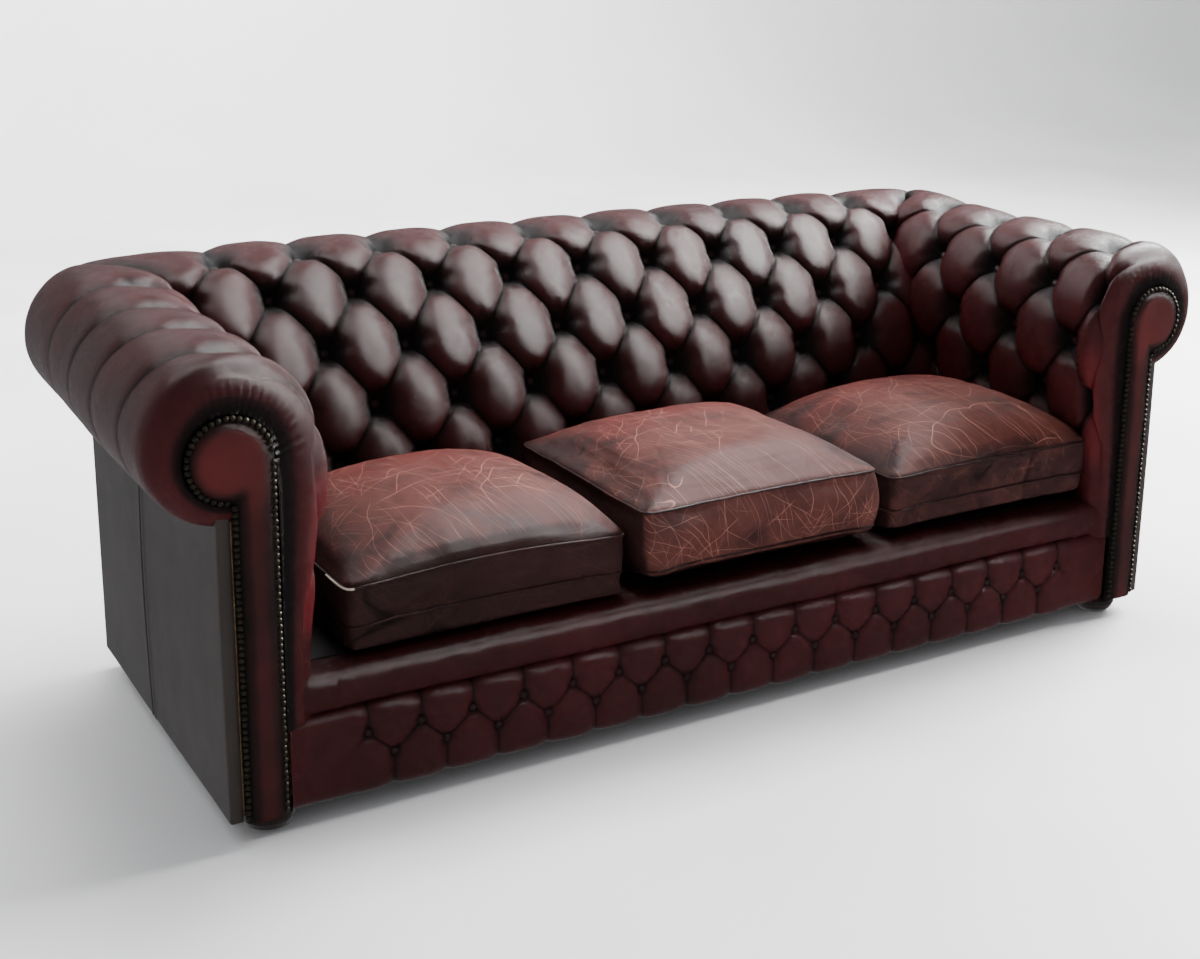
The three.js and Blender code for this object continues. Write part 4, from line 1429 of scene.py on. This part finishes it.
def make_dye_and_painted_shade():
    """Uneven colour with painted shade: a deep and a body colour mixed by two sizes of noise,
    with more body colour on open crowns, darkened as painted shade to the shade colour in folds
    and pits where Open is low, and rubbed through to the worn colour where Wear is high."""
    tree, n, given, made = group(
        "dye_and_painted_shade", [("Place", "v"), ("Deep", "c"), ("Body", "c"), ("Fold", "c"),
                       ("Worn", "c"), ("Open", "f"), ("Wear", "f")],
        [("Color", "c"), ("Rubbed", "f")])
    place = given.outputs["Place"]
    broad, fine = n.noise(place, 4.5, 3), n.noise(place, 26, 4, 0.6)
    blend = n.maths("MULTIPLY_ADD", fine, 0.35, n.maths("MULTIPLY", broad, 0.65))
    crown = n.ramp(given.outputs["Open"], 0.45, 1.0, 0.0, 0.55)
    blend = n.maths("ADD", n.ramp(blend, 0.32, 0.78, 0.0, 0.65), crown, clamp=True)
    colour = n.mix(blend, given.outputs["Deep"], given.outputs["Body"])
    # painted shade: where Open is low, in folds, pits, creases and seams, the colour is darkened
    # towards a near-black shade colour
    opened = n.ramp(given.outputs["Open"], 0.05, 0.80)
    colour = n.mix(opened, given.outputs["Fold"], colour)
    patch = n.noise(n.scaled(place, (1, 1.4, 1)), 11, 5, 0.65)
    rubbed = n.maths("MULTIPLY_ADD", n.maths("SUBTRACT", patch, 0.5), 2.0,
                     given.outputs["Wear"])
    rubbed = n.ramp(rubbed, 0.18, 0.95)
    n.feed(made, "Color", n.mix(rubbed, colour, given.outputs["Worn"]))
    n.feed(made, "Rubbed", rubbed)
    return tree


def make_scuffs():
    """Pale scratches: stripes a centimetre or two apart in several turned directions. Each
    stripe wavers a little, lies at its own place in its lane, is Width of a lane wide, and
    shows only where a noise drawn out along the lane is high."""
    tree, n, given, made = group("scuff_lines", [("Place", "v"), ("Lanes", "f"), ("Width", "f"),
                                                 ("Amount", "f")], [("Mask", "f")])
    place = given.outputs["Place"]
    waver = n.noise(place, 6, 2)
    total = 0.0
    for turn in (0.15, 0.62, 1.05, 1.52, 2.1, 2.7):
        parts = n.add("ShaderNodeSeparateXYZ",
                      {"Vector": n.scaled(place, (1, 1, 1), (0.9, 0.5, turn))})
        lane = n.maths("MULTIPLY_ADD", parts.outputs["X"], given.outputs["Lanes"],
                       n.maths("MULTIPLY", waver, 3.2))
        number = n.maths("FLOOR", lane)
        chance = n.add("ShaderNodeTexWhiteNoise", {"W": n.maths("ADD", number, turn)},
                       noise_dimensions="1D").outputs["Value"]
        middle = n.maths("MULTIPLY_ADD", chance, 0.7, 0.15)
        near = n.maths("ABSOLUTE", n.maths("SUBTRACT", n.maths("FRACT", lane), middle))
        line = n.maths("SUBTRACT", 1.0, n.maths("DIVIDE", near, given.outputs["Width"]),
                       clamp=True)
        along = n.add("ShaderNodeCombineXYZ", {
            "X": n.maths("MULTIPLY", number, 3.7),
            "Y": n.maths("MULTIPLY", parts.outputs["Y"], 9.0), "Z": turn * 10})
        shown = n.ramp(n.noise(along, 1.0, 1), 0.50, 0.66)
        total = n.maths("MULTIPLY_ADD", line, shown, total)
    n.feed(made, "Mask", n.maths("MULTIPLY", total, given.outputs["Amount"], clamp=True))
    return tree


def make_wood_grain():
    """Wood grain: noise stretched along one way, sharpened into streaks."""
    tree, n, given, made = group("wood_grain", [("Place", "v"), ("Pale", "c"), ("Dark", "c")],
                                 [("Color", "c"), ("Height", "f")])
    place = n.scaled(given.outputs["Place"], (6, 6, 60))
    streak = n.noise(place, 3.0, 6, 0.65)
    n.feed(made, "Color", n.mix(n.ramp(streak, 0.35, 0.7), given.outputs["Dark"],
                                given.outputs["Pale"]))
    n.feed(made, "Height", streak)
    return tree


def make_weave():
    """Plain weave: the product of two rows of threads at right angles."""
    tree, n, given, made = group("cloth_weave", [("Place", "v"), ("Threads", "f")],
                                 [("Height", "f")])
    parts = n.add("ShaderNodeSeparateXYZ", {"Vector": given.outputs["Place"]})
    waves = [n.maths("SINE", n.maths("MULTIPLY", parts.outputs[k], given.outputs["Threads"]))
             for k in (0, 1)]
    n.feed(made, "Height", n.maths("MULTIPLY", waves[0], waves[1]))
    return tree


GRAIN, DYE_AND_SHADE, SCUFFS, WOOD, WEAVE = (make_grain(), make_dye_and_painted_shade(), make_scuffs(), make_wood_grain(),
                                   make_weave())
print("groups", [g.name for g in bpy.data.node_groups])

# %% [markdown]
# Leather shows its age in layers. Its colour is darkened in the folds as painted shade, and is a
# redder brown on the open crowns. The seat has lost most of its finish, so its colour is patchy
# and crossed by pale scratches. All leathers share one recipe with their own colours and gloss.

# %% Leather
def rgb(red, green, blue):
    """A colour given as display values 0 to 255, made linear for the shader."""
    return (*[((v / 255 + 0.055) / 1.055) ** 2.4 if v > 10 else v / 255 / 12.92
              for v in (red, green, blue)], 1)


def new_material(name):
    """A material with an empty Principled shader, and the piece's own coordinates."""
    material = bpy.data.materials.new(name)
    material.use_nodes = True
    material.node_tree.nodes.clear()
    n = Nodes(material.node_tree)
    shader = n.add("ShaderNodeBsdfPrincipled")
    n.feed(n.add("ShaderNodeOutputMaterial"), "Surface", shader)
    place = n.add("ShaderNodeTexCoord").outputs["Object"]
    return material, n, shader, place


def use(n, tree, **values):
    """A copy of a shared effect with its own values."""
    node = n.add("ShaderNodeGroup", node_tree=tree)
    for label, value in values.items():
        n.feed(node, label, value)
    return node


GRAIN_DEPTH = 0.0012             # metres of bump for a grain height of 1


def leather(name, deep, body, fold, worn, scuff, gloss, wear_base=0.0, wear_mark=None,
            scuffing=0.3, open_mark="open", worn_behind=None, edge=None, shine=0.24):
    """gloss is (roughness of whole leather, roughness of rubbed leather). fold is painted shade:
    the colour that folds, pits, creases and seams are darkened to where the open mark is low.
    worn_behind is the worn colour where the mark back_share is 1, and edge the colour where the
    mark rub is."""
    material, n, shader, place = new_material(name)
    opened = (n.add("ShaderNodeAttribute", attribute_name=open_mark).outputs["Fac"]
              if open_mark else 1.0)
    wear = wear_base
    if wear_mark:
        wear = n.maths("ADD", n.add("ShaderNodeAttribute", attribute_name=wear_mark)
                       .outputs["Fac"], wear_base)
    worn_colour = rgb(*worn)
    if worn_behind:
        share = n.add("ShaderNodeAttribute", attribute_name="back_share").outputs["Fac"]
        streak = n.noise(n.scaled(place, (1, 0.2, 1), (0, 0, 0.3)), 30, 4)
        share = n.ramp(n.maths("MULTIPLY_ADD", streak, 1.6, share), 0.95, 1.75)
        worn_colour = n.mix(share, worn_colour, rgb(*worn_behind))
    dye_and_shade = use(n, DYE_AND_SHADE, Place=place, Deep=rgb(*deep), Body=rgb(*body), Fold=rgb(*fold),
              Worn=worn_colour, Open=opened, Wear=wear)
    colour = dye_and_shade.outputs["Color"]
    if edge:
        rub = n.add("ShaderNodeAttribute", attribute_name="rub").outputs["Fac"]
        rub = n.ramp(n.maths("MULTIPLY_ADD", n.noise(place, 16, 3), 0.8, rub), 0.55, 1.3)
        colour = n.mix(rub, colour, rgb(*edge))
    lines = use(n, SCUFFS, Place=place, Lanes=78.0, Width=0.030, Amount=scuffing)
    hide = use(n, GRAIN, Place=place, Cells=520.0, Wrinkle=0.55)
    shown = n.maths("MULTIPLY", lines.outputs["Mask"],
                    n.maths("MULTIPLY_ADD", dye_and_shade.outputs["Rubbed"], 0.9, 0.10))
    n.feed(shader, "Base Color", n.mix(shown, colour, rgb(*scuff)))
    rough = n.ramp(dye_and_shade.outputs["Rubbed"], 0, 1, *gloss)
    rough = n.maths("MULTIPLY_ADD", n.noise(place, 14, 3), 0.16, rough)
    rough = n.maths("SUBTRACT", rough, n.maths("MULTIPLY", hide.outputs["Pores"], 0.05))
    n.feed(shader, "Roughness", rough)
    height = n.maths("SUBTRACT", hide.outputs["Height"], n.maths("MULTIPLY", shown, 0.4))
    bump = n.add("ShaderNodeBump", {"Height": height, "Strength": 0.40,
                                    "Distance": GRAIN_DEPTH})
    n.feed(shader, "Normal", bump)
    shader.inputs["Specular IOR Level"].default_value = shine
    return material


# each leather's fold colour is painted shade: the near-black that its folds, pits, creases and
# seams are darkened to
LEATHERS = {
    "oxblood_leather": dict(deep=(28, 12, 13), body=(66, 21, 23), fold=(8, 5, 5),
                            worn=(86, 40, 38), scuff=(164, 112, 106), gloss=(0.21, 0.34),
                            wear_base=-0.05, scuffing=0.32, edge=(80, 20, 24), shine=0.32),
    "facing_leather": dict(deep=(40, 18, 17), body=(90, 29, 29), fold=(12, 7, 7),
                           worn=(84, 38, 36), scuff=(150, 100, 92), gloss=(0.28, 0.40),
                           wear_base=-0.05, scuffing=0.10, shine=0.30),
    "seat_leather": dict(deep=(30, 18, 18), body=(52, 31, 30), fold=(16, 10, 10),
                         worn=(90, 47, 42), scuff=(200, 138, 122), gloss=(0.26, 0.40),
                         wear_base=-0.12, wear_mark="wear", scuffing=0.80,
                         worn_behind=(88, 34, 30), shine=0.18),
    # the panels' grey-brown is a dark brown leather lifted halfway towards the pale wall it
    # mirrors: partly painted reflection
    "panel_leather": dict(deep=(44, 38, 35), body=(62, 54, 50), fold=(14, 12, 11),
                          worn=(76, 66, 60), scuff=(108, 96, 88), gloss=(0.34, 0.46),
                          scuffing=0.15, shine=0.45),
    "button_leather": dict(deep=(20, 10, 11), body=(44, 20, 21), fold=(10, 6, 7),
                           worn=(70, 38, 36), scuff=(110, 84, 78), gloss=(0.26, 0.38),
                           scuffing=0.1, open_mark=None, shine=0.5),
}
finishes = {name: leather(name, **look) for name, look in LEATHERS.items()}
print("leathers", list(finishes))

# %% [markdown]
# The rest of the frame is seldom seen: beech rails, jute straps, a black cloth over the deck and
# a dust cover under the rails. The feet are dark polished wood and the nails tarnished brass.

# %% Wood, metal and cloth
def brass(name, bright, dull, roughness):
    """Metal whose bright colour shows through a dull, rougher film in patches."""
    material, n, shader, place = new_material(name)
    patina = n.ramp(n.noise(place, 160, 4, 0.6), 0.38, 0.66)
    n.feed(shader, "Base Color", n.mix(patina, rgb(*dull), rgb(*bright)))
    n.feed(shader, "Metallic", n.ramp(patina, 0, 1, 0.75, 1.0))
    n.feed(shader, "Roughness", n.ramp(patina, 0, 1, roughness + 0.22, roughness))
    n.feed(shader, "Normal", n.add("ShaderNodeBump", {
        "Height": n.noise(place, 700, 3), "Strength": 0.3, "Distance": 0.0003}))
    return material


def wood(name, pale, dark, roughness, coat=0.0):
    """Grained wood with pale scrapes, varnished where coat is above zero."""
    material, n, shader, place = new_material(name)
    grain = use(n, WOOD, Place=place, Pale=rgb(*pale), Dark=rgb(*dark))
    scrape = n.ramp(n.noise(place, 40, 4, 0.6), 0.60, 0.72)
    n.feed(shader, "Base Color", n.mix(n.maths("MULTIPLY", scrape, 0.4),
                                       grain.outputs["Color"], rgb(*pale)))
    n.feed(shader, "Roughness", n.maths("MULTIPLY_ADD", grain.outputs["Height"], 0.2,
                                        roughness))
    n.feed(shader, "Normal", n.add("ShaderNodeBump", {
        "Height": grain.outputs["Height"], "Strength": 0.35, "Distance": 0.0006}))
    shader.inputs["Coat Weight"].default_value = coat
    shader.inputs["Coat Roughness"].default_value = 0.25
    return material


def cloth(name, pale, dark, threads, roughness=0.9):
    """Woven cloth with this many threads over a length of 2 pi metres."""
    material, n, shader, place = new_material(name)
    weave = use(n, WEAVE, Place=place, Threads=threads)
    n.feed(shader, "Base Color", n.mix(n.ramp(n.maths(
        "MULTIPLY_ADD", weave.outputs["Height"], 0.3, n.noise(place, 12, 4)), 0.3, 0.8),
        rgb(*dark), rgb(*pale)))
    n.feed(shader, "Roughness", n.ramp(n.noise(place, 30, 2), 0, 1, roughness - 0.1,
                                       roughness))
    n.feed(shader, "Normal", n.add("ShaderNodeBump", {
        "Height": weave.outputs["Height"], "Strength": 0.5, "Distance": 0.0006}))
    return material


for name, make, look in (
        ("nail_brass", brass, ((98, 91, 78), (46, 42, 36), 0.40)),
        ("bolt_steel", brass, ((170, 170, 168), (96, 92, 88), 0.35)),
        ("hardwood", wood, ((196, 160, 116), (150, 112, 74), 0.60)),
        ("dark_wood", wood, ((52, 30, 22), (24, 13, 10), 0.30, 0.3)),
        ("webbing", cloth, ((170, 146, 104), (110, 88, 58), 1500.0)),
        ("deck_cloth", cloth, ((34, 28, 27), (16, 13, 13), 2400.0)),
        ("dust_cloth", cloth, ((40, 38, 37), (22, 21, 21), 3000.0)),
        ("seam_thread", cloth, ((220, 212, 196), (150, 138, 120), 5000.0))):
    finishes[name] = make(name, *look)
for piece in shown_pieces():
    slot = piece.get("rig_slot") or piece.data.materials[0].name.split(".")[0]
    piece.data.materials.clear()
    piece.data.materials.append(finishes[slot])

# %% [markdown]
# ## Studio
# The sofa stands on a pale floor that sweeps up behind, in soft white light. A very large soft
# light on the right and behind gives the pillows their bright upper edges, and the white world
# fills the rest. For mirrored rays the world is dimmer, most of all in front, as if the bright
# wall behind the sofa were all that its leather mirrors, so the leather stays deep in colour
# and the floor bright.

# %% Studio
def pale_floor():
    """Nearly white, with a faint mottle in its gloss."""
    material, n, shader, place = new_material("pale_floor")
    mottle = n.ramp(n.noise(place, 1.3, 4), 0.3, 0.7)
    n.feed(shader, "Base Color", n.mix(mottle, rgb(250, 250, 251), rgb(254, 254, 254)))
    n.feed(shader, "Roughness", n.ramp(mottle, 0, 1, 0.42, 0.55))
    return material


sweep, _ = smooth_path([(-9, 0), (4.2, 0), (6.2, 0), (6.6, 2.2), (6.6, 7)], 2.4, 0.05)
sweep[:, 1] -= sweep[0, 1]
x = np.linspace(-12, 12, 3)
x, _ = np.meshgrid(x, sweep[:, 0])
mesh = bpy.data.meshes.new("studio_floor")
points = np.stack([x, sweep[:, :1] + 0 * x, np.maximum(sweep[:, 1:], 0) + 0 * x], -1)
mesh.from_pydata(points.reshape(-1, 3).tolist(), [], grid_quads(*x.shape).tolist())
mesh.polygons.foreach_set("use_smooth", [True] * len(mesh.polygons))
mesh.materials.append(pale_floor())
floor = bpy.data.objects.new("studio_floor", mesh)
bpy.context.scene.collection.objects.link(floor)
floor.visible_glossy = False     # its mirror image would fog the dark leather

FILL = 0.47                      # strength of the world for every ray that isn't mirrored
world = bpy.data.worlds.new("studio_light")
bpy.context.scene.world = world
world.use_nodes = True
world.node_tree.nodes["Background"].inputs["Color"].default_value = (0.95, 0.97, 1.0, 1)
sky = Nodes(world.node_tree)
way = sky.add("ShaderNodeSeparateXYZ", {
    "Vector": sky.add("ShaderNodeTexCoord").outputs["Generated"]})
wall = sky.ramp(way.outputs["Y"], -0.3, 0.7, 0.17, 0.36)
mirrored = sky.add("ShaderNodeLightPath").outputs["Is Glossy Ray"]
sky.feed(world.node_tree.nodes["Background"], "Strength",
         sky.maths("MULTIPLY_ADD", mirrored, sky.maths("SUBTRACT", wall, FILL), FILL))


def soft_light(name, place, target, width, height, power, mirrored=True):
    """A rectangle of light aimed at the target; leather mirrors it only if mirrored is set."""
    lamp = bpy.data.lights.new(name, "AREA")
    lamp.shape = "RECTANGLE"
    lamp.size, lamp.size_y = width, height
    lamp.energy = power
    light = bpy.data.objects.new(name, lamp)
    light.location = place
    light.rotation_mode = "QUATERNION"
    aim = Vector(target) - Vector(place)
    light.rotation_quaternion = aim.to_track_quat("-Z", "Y")
    light.visible_glossy = mirrored
    bpy.context.scene.collection.objects.link(light)


soft_light("window", (4.2, 0.3, 2.7), (0, 0, 0.4), 2.6, 2.4, 820)
soft_light("overhead", (0.6, 1.4, 4.2), (0, -0.4, 0.0), 3.0, 2.0, 240)
soft_light("backdrop", (0.0, 2.4, 4.8), (0.0, 6.8, 1.6), 9.0, 2.0, 760, mirrored=False)
